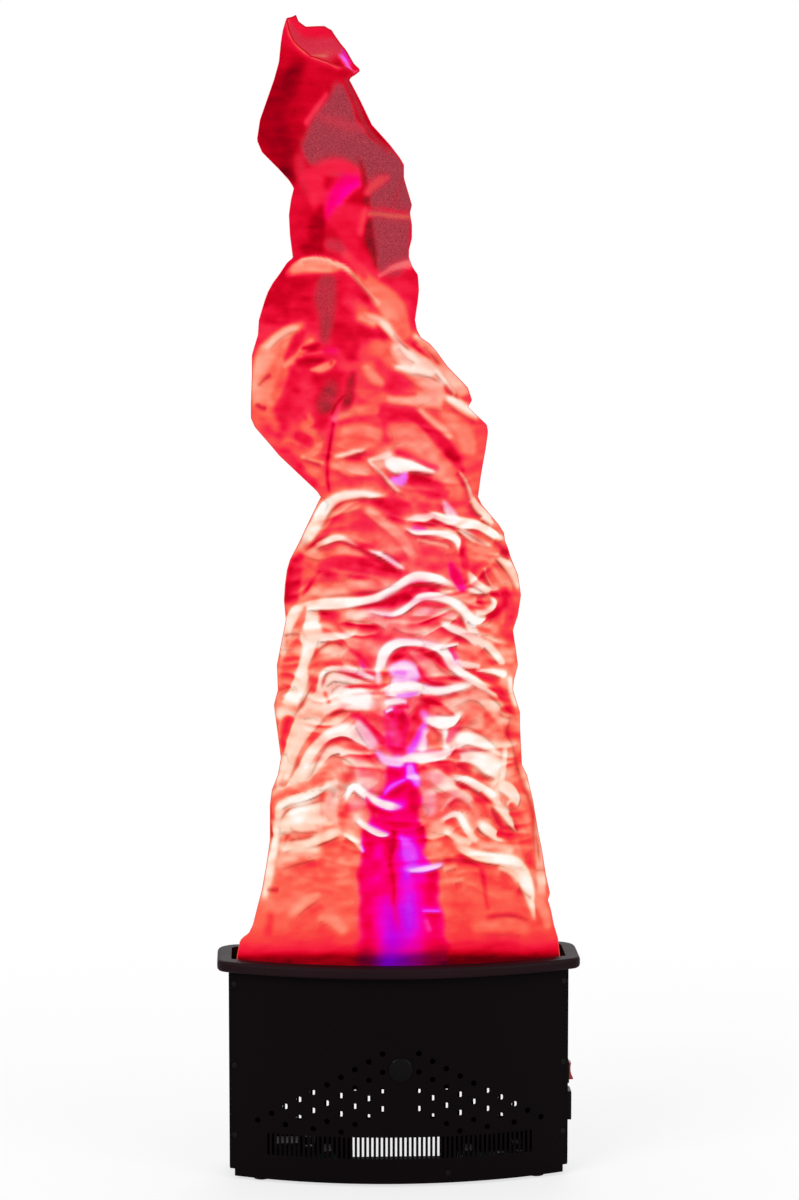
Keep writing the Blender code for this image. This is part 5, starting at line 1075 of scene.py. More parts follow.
    Band(0.74, ((441, 813, 2), (449, 802, 2), (457, 796, 2.4), (464, 800, 2.4), (471, 808, 1.4)),
         soft=1.5),
    Band(0.38, ((446, 811, 2), (455, 804, 3.6), (465, 810, 4), (474, 822, 4)), soft=1.8),
    Band(0.97, ((443, 822, 2), (450, 816, 2.6), (456, 815, 3), (462, 821, 2.8), (470, 831, 3.6),
                (479, 839, 3)), soft=1.4),
    Band(0.28, ((448, 824, 2.6), (456, 824, 3), (462, 831, 3), (468, 835, 1.6)), soft=1.6),
    Band(0.82, ((448, 833, 2), (458, 838, 3), (470, 840, 4)), soft=2.2),
    Band(0.97, ((479, 822, 2.4), (486, 827, 4.6), (497, 834, 4.6), (504, 838, 2.4)), soft=1.6),
    Band(0.92, ((492, 806, 1.4), (502, 812, 3.6), (512, 822, 3.8), (519, 830, 1.4)), soft=1.5),
    Band(0.36, ((511, 806, 4), (517, 816, 5), (523, 830, 6), (528, 845, 7), (531, 860, 3.6)),
         soft=2.2),
    Band(0.28, ((500, 833, 3), (512, 836, 4), (521, 836, 3)), soft=2.2),
    Band(0.66, ((484, 842, 4), (496, 844, 6), (508, 847, 6)), soft=3),
    Band(1.00, ((459, 844, 3), (470, 851, 4.6), (482, 856, 5.6), (500, 858, 6), (515, 862, 8),
                (523, 872, 8), (529, 886, 7), (533, 900, 4), (535, 917, 1.4)), soft=2),
    Band(0.86, ((500, 868, 2), (512, 872, 4), (518, 880, 3)), soft=3),
    Band(0.78, ((526, 778, 3), (531, 792, 3), (535, 810, 2.4), (538, 830, 2.4), (540, 850, 3),
                (542, 872, 4.4), (544, 892, 3)), soft=1.8),
    Band(0.60, ((541, 900, 4), (546, 910, 5), (549, 922, 4)), soft=3),
    # the smooth skirt
    Band(0.70, ((445, 868, 2), (455, 864, 3)), soft=2.5),
    Band(0.30, ((480, 864, 2), (483, 880, 2.6), (485, 896, 1.6), (488, 908, 1)), soft=2),
    Band(0.60, ((455, 881, 1.6), (462, 880, 2)), soft=2.2),
    Band(0.62, ((316, 896, 3), (304, 903, 5), (294, 914, 4)), soft=4),
    Band(0.60, ((322, 920, 2), (334, 922, 5), (344, 932, 4)), soft=4),
    Band(0.54, ((478, 928, 5), (500, 925, 8), (522, 926, 7)), soft=5),
    Band(0.28, ((270, 915, 3), (268, 930, 4)), soft=4),
    Band(0.84, ((409, 871, 2), (422, 869, 3.4), (435, 866, 2.8), (443, 863, 1.6)), 0.85,
         soft=1.6),
    Band(0.62, ((425, 912, 1), (433, 911, 1.6), (440, 911, 1)), 0.9, soft=1.6),
    Band(0.45, ((426, 922, 1.6), (428, 929, 2)), 0.35, soft=2.5),
    Band(0.64, ((410, 767, 4), (411, 776, 5), (416, 784, 4)), 1.0, soft=2.5),
    Band(0.82, ((408, 779, 2), (416, 779, 3)), 0.9, soft=2),
    Band(0.60, ((386, 794, 1.4), (392, 788, 2.6), (404, 782, 1.6)), 0.95, soft=1.8),
    Band(0.56, ((401, 836, 3), (407, 842, 7), (410, 854, 7)), 1.0, soft=4),
)
# painted shade: thin dark lines where a face turns sharply under, as column and row
CREASE_SHADE_LINES = (
    ((306, 668), (312, 655), (322, 647), (333, 642), (341, 644), (347, 651)),
    ((321, 690), (324, 679), (331, 671), (345, 672), (362, 677), (378, 683)),
    ((313, 681), (306, 694), (298, 706), (292, 722)),
    ((331, 696), (336, 688), (346, 684), (358, 685), (368, 687)),
    ((304, 781), (313, 770), (321, 756), (330, 744), (340, 740), (350, 741), (357, 747)),
    ((281, 822), (285, 813), (292, 808), (304, 808), (314, 805), (321, 802), (328, 801)),
    ((284, 842), (288, 833), (293, 831), (310, 831), (320, 832)),
    ((288, 840), (296, 838), (306, 837), (317, 833)),
    ((272, 800), (271, 820), (271, 846)),
    ((360, 784), (369, 791), (378, 794), (387, 794)),
    ((418, 651), (430, 660), (438, 668), (447, 676), (460, 681), (472, 685)),
    ((440, 700), (452, 697), (468, 694), (478, 690), (490, 695), (500, 704), (511, 716)),
    ((410, 679), (421, 682), (428, 686), (440, 687), (456, 686)),
    ((456, 735), (463, 728), (472, 725), (482, 732), (492, 742), (501, 753)),
    ((426, 724), (434, 731), (444, 740)),
    ((436, 715), (446, 718), (458, 716)),
    ((450, 749), (460, 752), (480, 751), (493, 752)),
    ((458, 763), (466, 768), (477, 772)),
    ((447, 812), (452, 803), (458, 799), (464, 803), (471, 809)),
    ((488, 805), (497, 818), (504, 831)),
    ((506, 811), (513, 821), (519, 831)),
    ((457, 783), (470, 785), (482, 792), (492, 804)),
    ((425, 863), (440, 861), (455, 859), (470, 861), (490, 862), (510, 865), (530, 870)),
    ((512, 705), (511, 722), (508, 733), (512, 746), (516, 760), (520, 771), (526, 784),
     (531, 803), (536, 832), (542, 868)),
    ((524, 782), (530, 796), (535, 815), (539, 842), (541, 862)),
    ((345, 609), (360, 607), (375, 602), (390, 594), (405, 590), (415, 585), (432, 585),
     (447, 588), (457, 590)),
    ((345, 594), (358, 591), (372, 591), (385, 588), (401, 587)),
    ((420, 607), (440, 608), (455, 612), (465, 618), (468, 625)),
    ((383, 617), (394, 619), (405, 615)),
    ((330, 548), (338, 544), (347, 543), (358, 547), (370, 553), (385, 562), (399, 573)),
    ((382, 551), (392, 557), (403, 567)),
    ((322, 528), (330, 514), (342, 503), (358, 500), (372, 498)),
    ((304, 552), (310, 545), (322, 540), (334, 535)),
    ((412, 527), (425, 525), (438, 522), (448, 522), (458, 528), (470, 535), (480, 541),
     (491, 546)),
    ((416, 538), (432, 541), (446, 544), (455, 550)),
    ((486, 570), (488, 580), (490, 589)), ((470, 586), (478, 592), (486, 597)),
    ((494, 540), (503, 545), (510, 557)), ((500, 552), (506, 558), (511, 559)),
    ((372, 465), (382, 476), (391, 487), (399, 494), (406, 498)),
    ((412, 474), (422, 473), (430, 475)),
    ((463, 474), (468, 483), (472, 494), (475, 501)),
    ((457, 471), (463, 480), (467, 490)),
    ((394, 333), (400, 341), (412, 352)), ((424, 345), (432, 354), (440, 366)),
    ((444, 384), (453, 393), (461, 400)),
    ((348, 270), (357, 283), (368, 293), (379, 305)),
    ((328, 318), (326, 327), (324, 338)),
    ((259, 386), (264, 379), (272, 373)), ((257, 404), (262, 409), (269, 410)),
    ((362, 453), (355, 458), (345, 461)), ((303, 456), (312, 461), (322, 465)),
    ((276, 752), (290, 753)), ((485, 917), (510, 916), (532, 920)),
    ((519, 889), (527, 894), (534, 898)), ((536, 869), (543, 868), (551, 869)),
    ((285, 636), (294, 633), (304, 634)), ((268, 891), (280, 891)),
)


# the inside of the mouth, in pale painted light with painted veil shade, which only the back panel
# shows
BACK_MOUTH = Band(0.24, ((300, 36, 14), (318, 46, 16), (340, 60, 12)), veil_shade=0.45, soft=4)

# painted crease shade: room round the path, and width of the dark line and of the shade beside it,
# in pixels
CREASE_ROOM = 4
CREASE_WIDTH = 1.1
CREASE_SHADE_WIDTH = 3.2
CREASE_BREAKS = Mottle(16, 12, 91)

# column over the middle lamp
MIDDLE_COLUMN = 405
# level under which no cloth low down falls
LEAST_LIT = 0.13
LEAST_LIT_PROFILE = Profile((350, 480, 930, 945), (0.0, LEAST_LIT, LEAST_LIT, 0.0))
# plain level of the lamps up the sleeve: bright low down and dim at the top
BASE_LIGHT = Profile(
    (15, 60, 130, 200, 250, 300, 340, 420, 560, 700, 850, 900, 925, 940, 950, 957),
    (0.20, 0.13, 0.10, 0.13, 0.15, 0.19, 0.28, 0.35, 0.37, 0.42, 0.49, 0.46, 0.42, 0.33, 0.22,
     0.04))
# painted light: how far the middle lamp's violet reaches up the sleeve, where the outer lamps light
# the sides low down, a small lift of the light level, and the crimson tint of the upper shade
MIDDLE_LAMP_LIGHT = Profile((240, 330, 500, 640, 800, 840), (0.0, 0.1, 0.35, 0.9, 0.9, 0.0))
SIDE_LIGHT = Profile((600, 650, 830, 860), (0, 1, 1, 0))
LIFT = Profile((20, 480, 600, 830, 880, 950), (0, 0, -0.015, 0.01, 0, 0))
ROSE_SHADE = Profile((600, 700), (0.14, 0.0))

# the violet strip of the middle lamp's painted light: its edges, its crimson crease of painted
# shade and where it is bright, pale and faded
STRIP_TOP = 740
STRIP_LEFT = Profile((740, 770, 800, 836, 850, 950), (396, 387, 377, 360, 358, 358))
STRIP_RIGHT = Profile((740, 790, 850, 866, 905, 950), (412, 423, 426, 439, 444, 450))
STRIP_BRIGHT = Profile((826, 846), (0.0, 1.0))
STRIP_PALE = Profile((880, 930), (0, 1))
STRIP_LOW = Profile((890, 940), (0.0, 1.0))
STRIP_FADE = Profile((935, 948, 956), (1.0, 0.7, 0.1))
STRIP_CREASE_SHADE = Profile((835, 860, 890, 950), (393, 390, 396, 398))
STRIP_CREASE_SHADE_DEPTH = Profile((815, 835, 900, 932), (0.0, 1.0, 0.9, 0.0))
STRIP_JAG = Mottle(1, 9, 8)
STRIP_SPOTS = Mottle(9, 12, 9)

# painted light and shade of the cloth: mottle of its light, thin dark lines of its wrinkles and the
# shading of small ripples
MOTTLE_ZONE = Profile((20, 250, 420, 560, 840, 900, 950),
                      (0.02, 0.04, 0.13, 0.24, 0.24, 0.10, 0.03))
MOTTLE = Mottle(15, 8, 61)
FINE_MOTTLE = Mottle(7, 5, 62)
WRINKLE_BEND = Mottle(30, 24, 74)
WRINKLES = Mottle(34, 12, 75)
WRINKLE_BREAKS = Mottle(22, 18, 76)
RIPPLE_ZONE = Profile((250, 400, 500, 580, 790, 850, 900), (0, 0.08, 0.35, 0.9, 1, 0.5, 0.1))
RIPPLES = Mottle(40, 13, 71)
RIPPLE_BEND = Mottle(46, 34, 72)
FINE_RIPPLES = Mottle(17, 6, 73)


def blurred(values: np.ndarray, times: int) -> np.ndarray:
    """Smooth a grid by the mean of each place and its neighbours, a few times."""
    for _ in range(times):
        for axis in (0, 1):
            padded = np.concatenate([values.take([0], axis), values, values.take([-1], axis)],
                                    axis)
            size = values.shape[axis]
            values = (padded.take(range(size), axis) + 2 * values
                      + padded.take(range(2, size + 2), axis)) / 4
    return values


@dataclass
class SilkSleeve:
    """The tall sleeve of silk, in two panels sewn at the left and the right.

    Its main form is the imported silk's: a hem that follows the base inside the
    clamp frame, then an oval section between the outline's left and right
    edges, with five slow upright folds and nine level waves a metre.
    """

    studio: Studio
    hem_height: float = 0.2196
    top_height: float = 1.2204
    growth: float = 0.100
    half_width: float = HALF_WIDTH
    rear_y: float = REAR_Y
    front_radius: float = FRONT_RADIUS
    clamp_inset: float = 0.0131
    relief: float = 0.009
    across: int = 200
    up: int = 500
    # the main form's slow folds and level waves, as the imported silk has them
    fold_count: int = 5
    fold_depth: float = 0.006
    fold_twist: float = 4.0
    wave_count: int = 9
    wave_depth: float = 0.007
    wave_slant: float = 2.0
    squareness: float = 0.62
    hem_slack: float = 0.004
    free_slack: float = 0.050
    side_slack: float = 10.0
    # widest x at which the circle of the bowed front is asked for
    bow_reach: float = 0.3
    # height and half depth
    depths: tuple[tuple[float, float], ...] = (
        (0.242, 0.040), (0.275, 0.043), (0.307, 0.045), (0.404, 0.047), (0.510, 0.045),
        (0.552, 0.045), (0.626, 0.042), (0.689, 0.035), (0.731, 0.030), (0.773, 0.035),
        (0.804, 0.038), (0.846, 0.038), (0.897, 0.034), (0.959, 0.030), (1.001, 0.028),
        (1.046, 0.028), (1.083, 0.030), (1.124, 0.029), (1.175, 0.027), (1.2204, 0.025))
    # edges of the silk, read off, as row and column of the picture
    left_edge: tuple[tuple[float, float], ...] = (
        (956, 238), (941, 241), (935, 249), (925, 254), (905, 259), (890, 263), (862, 268),
        (840, 271), (805, 271), (790, 273), (775, 279), (758, 282), (735, 279), (705, 275),
        (690, 279), (665, 278), (650, 281), (630, 285), (620, 287), (600, 285), (585, 286),
        (570, 288), (560, 291), (541, 301), (530, 306), (505, 318), (497, 322), (491, 318),
        (474, 300), (455, 280), (443, 270), (435, 263), (427, 256), (418, 252), (405, 252),
        (375, 253), (355, 253), (345, 256), (335, 259), (320, 260), (300, 266), (292, 269),
        (283, 274), (275, 280), (263, 288), (258, 294), (235, 291), (215, 290), (200, 292),
        (188, 295), (180, 290), (168, 279), (152, 263), (140, 258), (120, 261), (100, 268),
        (80, 275), (62, 280), (42, 282), (30, 284), (20, 287), (14, 291))
    right_edge: tuple[tuple[float, float], ...] = (
        (956, 560), (938, 558), (925, 554), (910, 551), (900, 548), (893, 550), (875, 546),
        (850, 542), (830, 538), (800, 533), (775, 527), (765, 522), (725, 520), (712, 520),
        (690, 513), (680, 514), (665, 518), (650, 516), (630, 513), (615, 518), (595, 521),
        (575, 518), (558, 511), (548, 508), (541, 505), (533, 504), (525, 499), (505, 482),
        (497, 478), (475, 481), (447, 486), (432, 488), (425, 487), (413, 474), (407, 468),
        (400, 472), (388, 468), (366, 447), (352, 437), (344, 430), (338, 421), (330, 417),
        (320, 415), (300, 418), (290, 419), (275, 418), (268, 413), (258, 409), (250, 409),
        (238, 412), (225, 412), (213, 410), (205, 412), (195, 409), (178, 404), (165, 404),
        (158, 400), (145, 390), (125, 372), (100, 360), (79, 349), (70, 361), (64, 355),
        (58, 352), (50, 348), (42, 343), (28, 337), (14, 336))
    # share of the way from the left edge to the right, and drop below the tip
    front_mouth: tuple[tuple[float, float], ...] = (
        (0.0, 0.004), (0.10, 0.014), (0.25, 0.030), (0.42, 0.044), (0.62, 0.049), (0.85, 0.056),
        (1.0, 0.061))
    back_mouth: tuple[tuple[float, float], ...] = (
        (0.0, 0.004), (0.12, 0.0), (0.25, 0.006), (0.42, 0.011), (0.78, 0.011), (0.90, 0.015),
        (0.95, 0.026), (0.97, 0.038), (0.985, 0.050), (1.0, 0.061))

    def section(self, height: np.ndarray) -> tuple[np.ndarray, np.ndarray, np.ndarray]:
        """Left edge, right edge and half depth at each height.

        The edges are straight between their places in the picture, which the
        camera carries to the plane of the seams.
        """
        sides = []
        for edge in (self.left_edge, self.right_edge):
            places = np.array(edge, float)
            across, up = self.studio.seam_place(places[:, 1], places[:, 0])
            sides.append(np.interp(height, up, across))
        known = np.array(self.depths)
        return sides[0], sides[1], np.interp(height, known[:, 0], known[:, 1])

    def front_y(self, x: np.ndarray, inset: float) -> np.ndarray:
        """Y of the bowed front at x, set in by the inset."""
        radius = self.front_radius - inset
        return self.front_radius - self.rear_y - np.sqrt(radius ** 2 - x ** 2)

    def form(self, angle: np.ndarray, share: np.ndarray, side: Panel) -> np.ndarray:
        """Points of the main form at an angle round it and a share of its height.

        x = centre + half width * cos(angle), y = depth * sin(angle), both
        squared off at the hem, and kept inside the clamp frame there.
        """
        cosine, sine = np.cos(angle), np.sin(angle)
        mouth = np.array(self.front_mouth if side is Panel.FRONT else self.back_mouth)
        crossing = (1 + cosine) / 2
        top = self.top_height - np.interp(crossing, mouth[:, 0], mouth[:, 1])
        height = self.hem_height + (top - self.hem_height) * share
        left, right, depth = self.section(height)
        grown = np.clip((height - self.hem_height) / self.growth, 0.0, 1.0)
        folds = self.fold_depth * grown * np.sin(
            self.fold_count * angle + self.fold_twist * height)
        waves = self.wave_depth * grown * np.sin(
            2 * np.pi * self.wave_count * height + self.wave_slant * np.sin(angle))
        square = 1.0 - self.squareness * (1.0 - grown)
        depth = depth + (folds + waves) * np.sqrt(np.abs(sine))
        x = (left + right) / 2 + (right - left) / 2 * np.copysign(
            np.abs(cosine) ** square, cosine)
        y = depth * np.copysign(np.abs(sine) ** square, sine)
        slack = self.hem_slack * grown + self.free_slack * grown ** 3
        half = self.half_width - self.clamp_inset + self.side_slack * slack
        x = np.clip(x, -half, half)
        inner = np.clip(x, -self.bow_reach, self.bow_reach)
        y = np.clip(y, self.front_y(inner, self.clamp_inset) - slack,
                    self.rear_y - self.clamp_inset + slack)
        return np.stack([x, y, height], axis=-1)

    def add_crease_shade(self, column: np.ndarray, row: np.ndarray,
                    values: dict[str, np.ndarray]) -> None:
        """Draw the thin dark lines of painted shade along the sharp folds, faded at their ends."""
        for line in CREASE_SHADE_LINES:
            flat = np.array(line, float)
            path = rounded(np.column_stack([flat, np.linspace(0, 1, len(flat))]))
            near = beside(path, column, row, CREASE_ROOM)
            if near.any():
                distance, along = reach(path, column[near], row[near])[:2]
                fade = np.clip(np.sin(np.pi * along) * 2.0, 0, 1) * (
                    0.35 + 0.9 * CREASE_BREAKS.at(column[near], row[near]))
                dark = 0.50 * fade * bell(distance, 0.0, CREASE_WIDTH)
                values["crease_shade"][near] = np.maximum(values["crease_shade"][near], dark)
                lit = values["lit"][near]
                fall = 0.20 * fade * bell(distance, 0.0, CREASE_SHADE_WIDTH)
                values["lit"][near] = np.maximum(lit - fall, np.minimum(lit, SHADOW_LEVEL))

    def add_violet_strip(self, column: np.ndarray, row: np.ndarray,
                         values: dict[str, np.ndarray]) -> None:
        """Lay the middle lamp's painted light up the front: pink at its sides, violet within.

        A crimson crease of painted shade runs up it, left of its middle, where the cloth is
        doubled.
        """
        jag = 9 * (STRIP_JAG.at(np.full_like(row, 3.0), row) - 0.5) + 3 * np.sin(row / 6.0)
        cover = ramp(column - STRIP_LEFT.at(row) + 0.4 * jag, 4)
        cover = cover * ramp(STRIP_RIGHT.at(row) - column + 0.6 * jag, 4) * (row > STRIP_TOP)
        cover *= ramp(row - STRIP_TOP - 5, 18)
        bright, low = STRIP_BRIGHT.at(row), STRIP_LOW.at(row)
        spots = STRIP_SPOTS.at(column, row) - 0.5
        lit = 0.20 + 0.03 * bright + bright * (
            0.05 * bell(column, 379, 7) + 0.22 * bell(column, 410, 13))
        lit += 0.16 * bell(column, 388, 9) * STRIP_PALE.at(row)
        lit += 0.12 * spots
        crease_shade = bell(column, STRIP_CREASE_SHADE.at(row), 3.0) * STRIP_CREASE_SHADE_DEPTH.at(row)
        lit += crease_shade * (LEAST_LIT - lit)
        values["lit"] += np.sqrt(cover) * (lit * STRIP_FADE.at(row) - values["lit"])
        values["violet"] += cover ** 2 * (1 - 0.12 * crease_shade - values["violet"])
        values["deep"] += cover ** 2 * (1 - crease_shade) * bright * np.clip(
            (0.10 + 0.25 * low + 0.5 * spots) * bell(column, 409, 11)
            + 0.50 * low * bell(column, 391, 9), 0.0, 1.0)

    def warp(self, column: np.ndarray, row: np.ndarray, size: float, seed: int
             ) -> tuple[np.ndarray, np.ndarray]:
        """Places moved by slow noise, so that what is laid there wanders."""
        return (column + size * (Mottle(38, 30, seed).at(column, row) - 0.5),
                row + size * (Mottle(34, 26, seed + 1).at(column, row) - 0.5))

    def lay_folds(self, column: np.ndarray, row: np.ndarray, side: Panel,
                  values: dict[str, np.ndarray]) -> None:
        """Lay the painted light and shade of the strip and the bands, soften them, and tint the
        brightly lit folds near the middle with the middle lamp's painted violet.
        """
        middle = bell(column, MIDDLE_COLUMN, 60) * MIDDLE_LAMP_LIGHT.at(row)
        values["violet"] += 0.09 * middle
        if side is Panel.BACK:
            BACK_MOUTH.lay(column, row, values)
        self.add_violet_strip(column, row, values)
        for band in TOP_BANDS + CURL_BANDS + BELT_BANDS + LOWER_BANDS:
            band.lay(column, row, values)
        for word, part in (("lit", 0.22), ("violet", 0.25), ("veil_shade", 0.5)):
            values[word] += part * (blurred(values[word], 4) - values[word])
        brightly_lit = ramp(values["lit"] - 0.62, 0.2)
        values["violet"] += 0.42 * middle * brightly_lit * (1 - values["violet"])

    def side_light(self, column: np.ndarray, row: np.ndarray) -> np.ndarray:
        """How much a place belongs to the sides, low down, where the outer lamps shine."""
        return ramp(np.abs(column - MIDDLE_COLUMN) - 20, 40) * SIDE_LIGHT.at(row)

    def add_wrinkles(self, column: np.ndarray, row: np.ndarray,
                     values: dict[str, np.ndarray]) -> None:
        """Mottle the cloth's painted light, lift its painted shade at the sides and draw thin
        wrinkle lines of painted shade over it.
        """
        lit, plain = values["lit"], 1 - 0.8 * values["violet"]
        zone = MOTTLE_ZONE.at(row)
        small = MOTTLE.at(column, row) + 0.6 * FINE_MOTTLE.at(column, row)
        lift = LIFT.at(row) - 0.05 * ramp(column - 440, 15) * ramp(row - 790, 60)
        lift = lift + (0.12 + 0.06 * (column < MIDDLE_COLUMN)) * self.side_light(
            column, row) * ramp(0.58 - lit, 0.3)
        lit += (zone * (small - 0.8) + lift) * plain
        wander = row + 18 * WRINKLE_BEND.at(column, row)
        thin = bell(WRINKLES.at(column, wander), 0.44, 0.022)
        thin *= np.clip(4 * WRINKLE_BREAKS.at(column, row) - 2, 0, 1) * zone * plain
        values["crease_shade"] = np.maximum(values["crease_shade"], 1.4 * thin)

    def add_ripples(self, column: np.ndarray, row: np.ndarray, angle: np.ndarray,
                    values: dict[str, np.ndarray]) -> None:
        """Shade small sharp ripples by their slope: noise folded at its middle, bent by noise."""
        bent = row + 30 * RIPPLE_BEND.at(column, row)
        fold = (1 - np.abs(2 * RIPPLES.at(column, bent) - 1)) ** 2
        ripple = RIPPLE_ZONE.at(row) * (fold + 0.3 * FINE_RIPPLES.at(column, bent))
        slope = np.gradient(ripple, axis=0) / np.maximum(-np.gradient(row, axis=0), 0.4)
        inner = np.clip(np.abs(np.sin(angle)) * 1.6 - 0.3, 0.0, 1.0)
        plain = 1 - 0.8 * values["violet"]
        values["lit"] -= 1.2 * inner * plain * np.clip(slope, -0.2, 0.2)

    def settle(self, column: np.ndarray, row: np.ndarray,
               values: dict[str, np.ndarray]) -> None:
        """Part light from shade at the sides, bound the shade, and tint it.

        Low down at the sides the cloth is either well lit or well shaded.
        """
        lit, plain = values["lit"], 1 - 0.8 * values["violet"]
        lit = lit + self.side_light(column, row) * plain * (
            0.08 * bell(lit, 0.68, 0.13) - 0.05 * ramp(0.5 - lit, 0.12))
        values["lit"] = np.maximum(lit, LEAST_LIT_PROFILE.at(row))
        # the shadows of the upper folds are crimson, and those low down more orange
        rose_shade = ROSE_SHADE.at(row) * (1 - values["violet"])
        values["violet"] += rose_shade * ramp(0.42 - values["lit"], 0.2)

    def shade(self, form: np.ndarray, angle: np.ndarray, side: Panel) -> dict[str, np.ndarray]:
        """Values of the light at each point of a panel.

        The back takes the same folds as the front, but they wander away from
        the seams by slow noise.
        """
        column, row = self.studio.picture_place(form)
        if side is Panel.BACK:
            moved = self.warp(column, row, 60.0, 41)
            part = np.abs(np.sin(angle))
            column = column + part * (moved[0] - column)
            row = row + part * (moved[1] - row)
        else:
            column, row = self.warp(column, row, 5.0, 51)
        values = {word: np.zeros(column.shape) for word in SILK_VALUES}
        values["lit"] += BASE_LIGHT.at(row)
        self.lay_folds(column, row, side, values)
        self.add_crease_shade(column, row, values)
        self.add_wrinkles(column, row, values)
        self.add_ripples(column, row, angle, values)
        self.settle(column, row, values)
        return {word: np.clip(data, 0.0, 1.0) for word, data in values.items()}

    def panel(self, side: Panel) -> bpy.types.Object:
        """Make one panel: the main form, raised where its folds catch the light."""
        even = np.linspace(0, 1, self.across)
        turn = 0.45 * even + 0.55 * np.arccos(1 - 2 * even) / np.pi
        share = np.interp(np.linspace(0, 1, self.up), (0, 0.05, 0.58, 0.83, 1),
                          (0, 0.07, 0.53, 0.77, 1))
        angle, share = np.meshgrid(np.pi * turn + 2 * np.pi * side.value, share)
        form = self.form(angle, share, side)
        values = self.shade(form, angle, side)
        raised = blurred(values["lit"], 2) - blurred(values["lit"], 40)
        seam = np.clip(np.abs(np.sin(angle)) * 2.5, 0.0, 1.0)
        rise = np.clip(share / 0.08, 0.0, 1.0)
        normal = np.cross(np.gradient(form, axis=1), np.gradient(form, axis=0))
        normal /= np.maximum(np.linalg.norm(normal, axis=-1, keepdims=True), 1e-9)
        points = form + normal * (self.relief * raised * seam * rise)[..., None]
        return grid_mesh(f"silk_{side.name.lower()}_panel", points, values)

    def seam(self, name: str, path: np.ndarray, radius: float) -> bpy.types.Object:
        """Make a rolled seam along a path, with painted light as dim as the doubled cloth's and a
        faint painted crease shade.
        """
        points = tube_points(path, radius)
        row = self.studio.picture_place(points)[1]
        lit = np.interp(row, (60, 300, 700, 900), (0.16, 0.26, 0.50, 0.44))
        zero = np.zeros(points.shape[:2])
        return grid_mesh(name, points, {"lit": lit, "violet": zero, "deep": zero,
                                        "crease_shade": zero + 0.25, "veil_shade": zero}, wrap=True)

    def build(self) -> None:
        finish = SilkFinish().build()
        panels = [self.panel(Panel.FRONT), self.panel(Panel.BACK)]
        grids = [np.empty(len(p.data.vertices) * 3) for p in panels]
        for thing, data in zip(panels, grids):
            thing.data.vertices.foreach_get("co", data)
        front, back = (g.reshape(self.up, self.across, 3) for g in grids)
        mouth = np.concatenate([front[-1], back[-1][1:]])
        seams = [self.seam("silk_left_seam", front[:, 0], 0.6 * MM),
                 self.seam("silk_right_seam", front[:, -1], 0.6 * MM),
                 self.seam("silk_mouth_hem", mouth, 0.9 * MM)]
        for thing in panels + seams:
            thing.data.materials.append(finish)
            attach(thing, "base")
            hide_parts("silk_sleeve")
            log.info("made %s", thing.name)


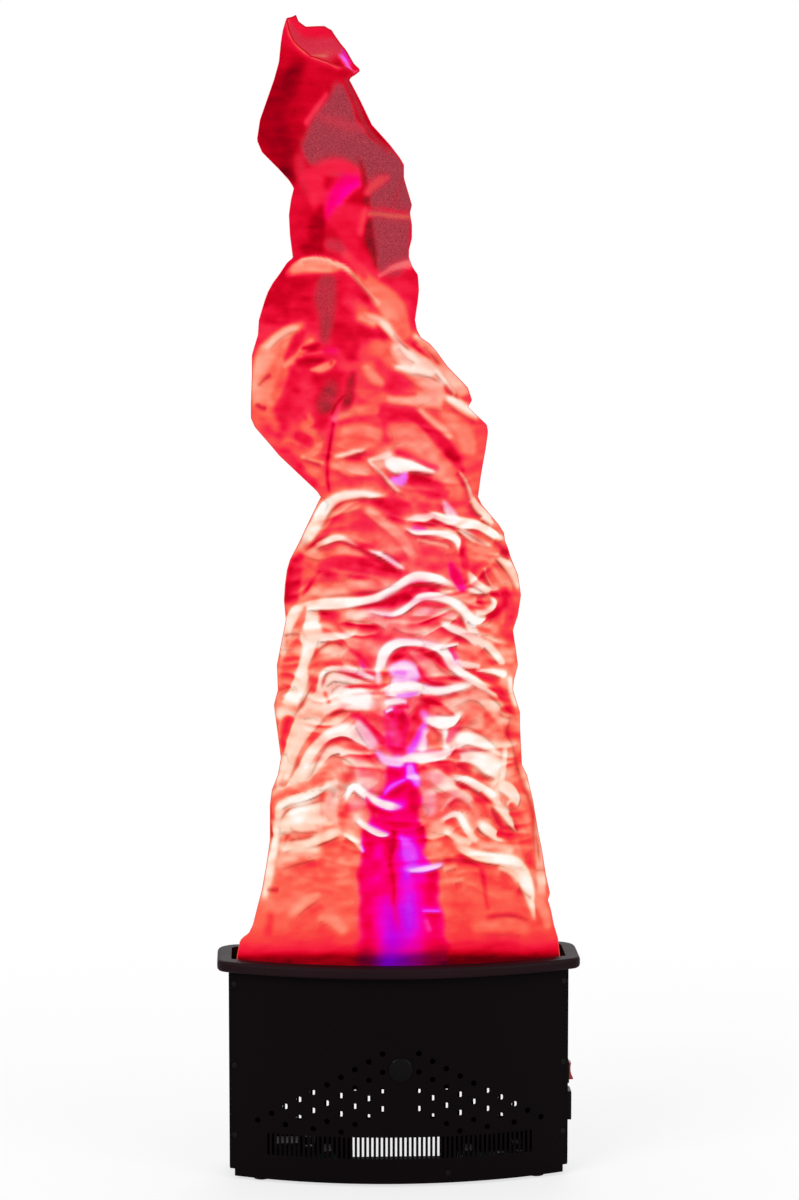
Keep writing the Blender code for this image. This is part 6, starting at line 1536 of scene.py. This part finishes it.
@dataclass
class BaseHousing:
    """Walls, rim, deck, pan, disc and feet, and the screws that hold the walls."""

    front_radius: float = FRONT_RADIUS
    rear_y: float = REAR_Y
    screw_radius: float = 0.0027
    screw_height: float = 0.0011
    dome_share: float = 0.75
    recess_width: float = 0.0006
    recess_reach: float = 0.0015
    recess_depth: float = 0.0007
    front_spots: tuple[tuple[float, float], ...] = (
        (-0.174, 0.211), (-0.174, 0.1235), (-0.174, 0.048), (0.174, 0.211),
        (0.174, 0.1235), (0.174, 0.048), (0.050, 0.014))
    rear_spots: tuple[tuple[float, float], ...] = (
        (-0.160, 0.211), (-0.160, 0.120), (-0.160, 0.024), (0.160, 0.211),
        (0.160, 0.120), (0.160, 0.024), (0.0, 0.211))

    def screw_cap(self) -> np.ndarray:
        """Points of a low round head with a cross recess, facing +Z at the origin.

        height = h * sqrt(1 - share * (r / R)^2), less the recess's depth where
        either axis is within half its width and r is within its reach.
        """
        steps = np.array([1.0, 0.97, 0.86, 0.72, 0.6, 0.5, 0.42, 0.34, 0.24, 0.12, 0.0])
        radius, turn = np.meshgrid(steps * self.screw_radius,
                                   np.linspace(0, 2 * np.pi, 48, endpoint=False),
                                   indexing="ij")
        x, y = radius * np.cos(turn), radius * np.sin(turn)
        dome = self.screw_height * np.sqrt(
            np.maximum(1.0 - (radius / self.screw_radius) ** 2 * self.dome_share, 0.0))
        cross = (np.minimum(np.abs(x), np.abs(y)) < self.recess_width / 2) & (
            radius < self.recess_reach)
        height = dome - self.recess_depth * cross
        rim = np.stack([x[0], y[0], np.zeros(len(x[0]))], axis=-1)[None]
        return np.concatenate([rim, np.stack([x, y, height], axis=-1)])

    def screw_at(self, name: str, place: np.ndarray, out: np.ndarray,
                 finish: bpy.types.Material) -> None:
        """Set one screw on a wall at a place, facing out."""
        cap = self.screw_cap()
        side = np.cross([0.0, 0.0, 1.0], out)
        turn = np.stack([side, np.cross(out, side), out], axis=0)
        thing = grid_mesh(name, cap @ turn + place, wrap=True)
        thing.data.materials.append(finish)
        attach(thing, "base")
        log.info("made %s", name)

    def build(self) -> None:
        """Dress the housing and set its screws."""
        dress(POWDER_COAT.build(), "bottom_pan", "front_panel", "left_side_panel",
              "right_side_panel", "rear_panel", "deck_plate")
        dress(SATIN_ABS.build(), "top_rim")
        dress(SPARKED_NYLON.build(), "silk_clamp_frame")
        dress(GLOSS_ABS.build(), "front_disc", "switch_frame", "inlet_body")
        dress(FOOT_RUBBER.build(), "foot_front_left", "foot_front_right", "foot_rear_left",
              "foot_rear_right")
        steel = BLACK_SCREW.build()
        centre_y = self.front_radius - self.rear_y
        for number, (x, z) in enumerate(self.front_spots):
            slope = x / self.front_radius
            out = np.array([slope, -math.sqrt(1 - slope * slope), 0.0])
            place = np.array([0.0, centre_y, z]) + out * self.front_radius
            self.screw_at(f"front_screw_{number + 1}", place, out, steel)
        for number, (x, z) in enumerate(self.rear_spots):
            self.screw_at(f"rear_screw_{number + 1}", np.array([x, self.rear_y, z]),
                          np.array([0.0, 1.0, 0.0]), steel)


@dataclass
class Blower:
    """The two fans under the deck."""

    sides: tuple[str, ...] = ("left", "right")

    def build(self) -> None:
        """Dress the frames, bearings, rotors and guards."""
        nylon, bronze, wire = FAN_NYLON.build(), SINTERED_BRONZE.build(), ZINC_PLATE.build()
        for side in self.sides:
            dress(nylon, f"fan_frame_{side}", f"fan_rotor_{side}")
            dress(bronze, f"fan_bearing_{side}")
            dress(wire, f"fan_guard_{side}")


class LampColour(Enum):
    """Colour of each lamp cluster."""

    left = "FF3A2A"
    centre = "B030FF"
    # a step of blue off the left one, because an Enum takes equal values for one member
    right = "FF3A2B"


@dataclass
class Lamps:
    """The three lamp clusters and the boards that feed them."""

    def build(self) -> None:
        """Dress the boards, lenses and heatsinks, and the two circuit boards."""
        white, sink = WHITE_MASK.build(), EXTRUDED_ALUMINIUM.build()
        for lamp in LampColour:
            dress(white, f"lamp_board_{lamp.name}")
            dress(sink, f"heatsink_{lamp.name}")
            dress(LensFinish(f"clear_acrylic_{lamp.name}", lamp.value).build(),
                  f"lamp_lens_{lamp.name}")
        dress(BoardFinish().build(), "power_board", "control_board")


@dataclass
class PowerEntry:
    """The rocker switch and the pins of the inlet."""

    def build(self) -> None:
        """Dress the rocker and the pins."""
        dress(ROCKER_RED.build(), "switch_rocker")
        dress(PLATED_BRASS.build(), "inlet_pin_line", "inlet_pin_neutral", "inlet_pin_earth")


def main() -> None:
    """Build the stage and each sub-assembly."""
    logging.basicConfig(level=logging.INFO, format="%(name)s: %(message)s")
    studio = Studio()
    studio.build()
    SilkSleeve(studio).build()
    BaseHousing().build()
    Blower().build()
    Lamps().build()
    PowerEntry().build()


if __name__ == "__main__":
    main()
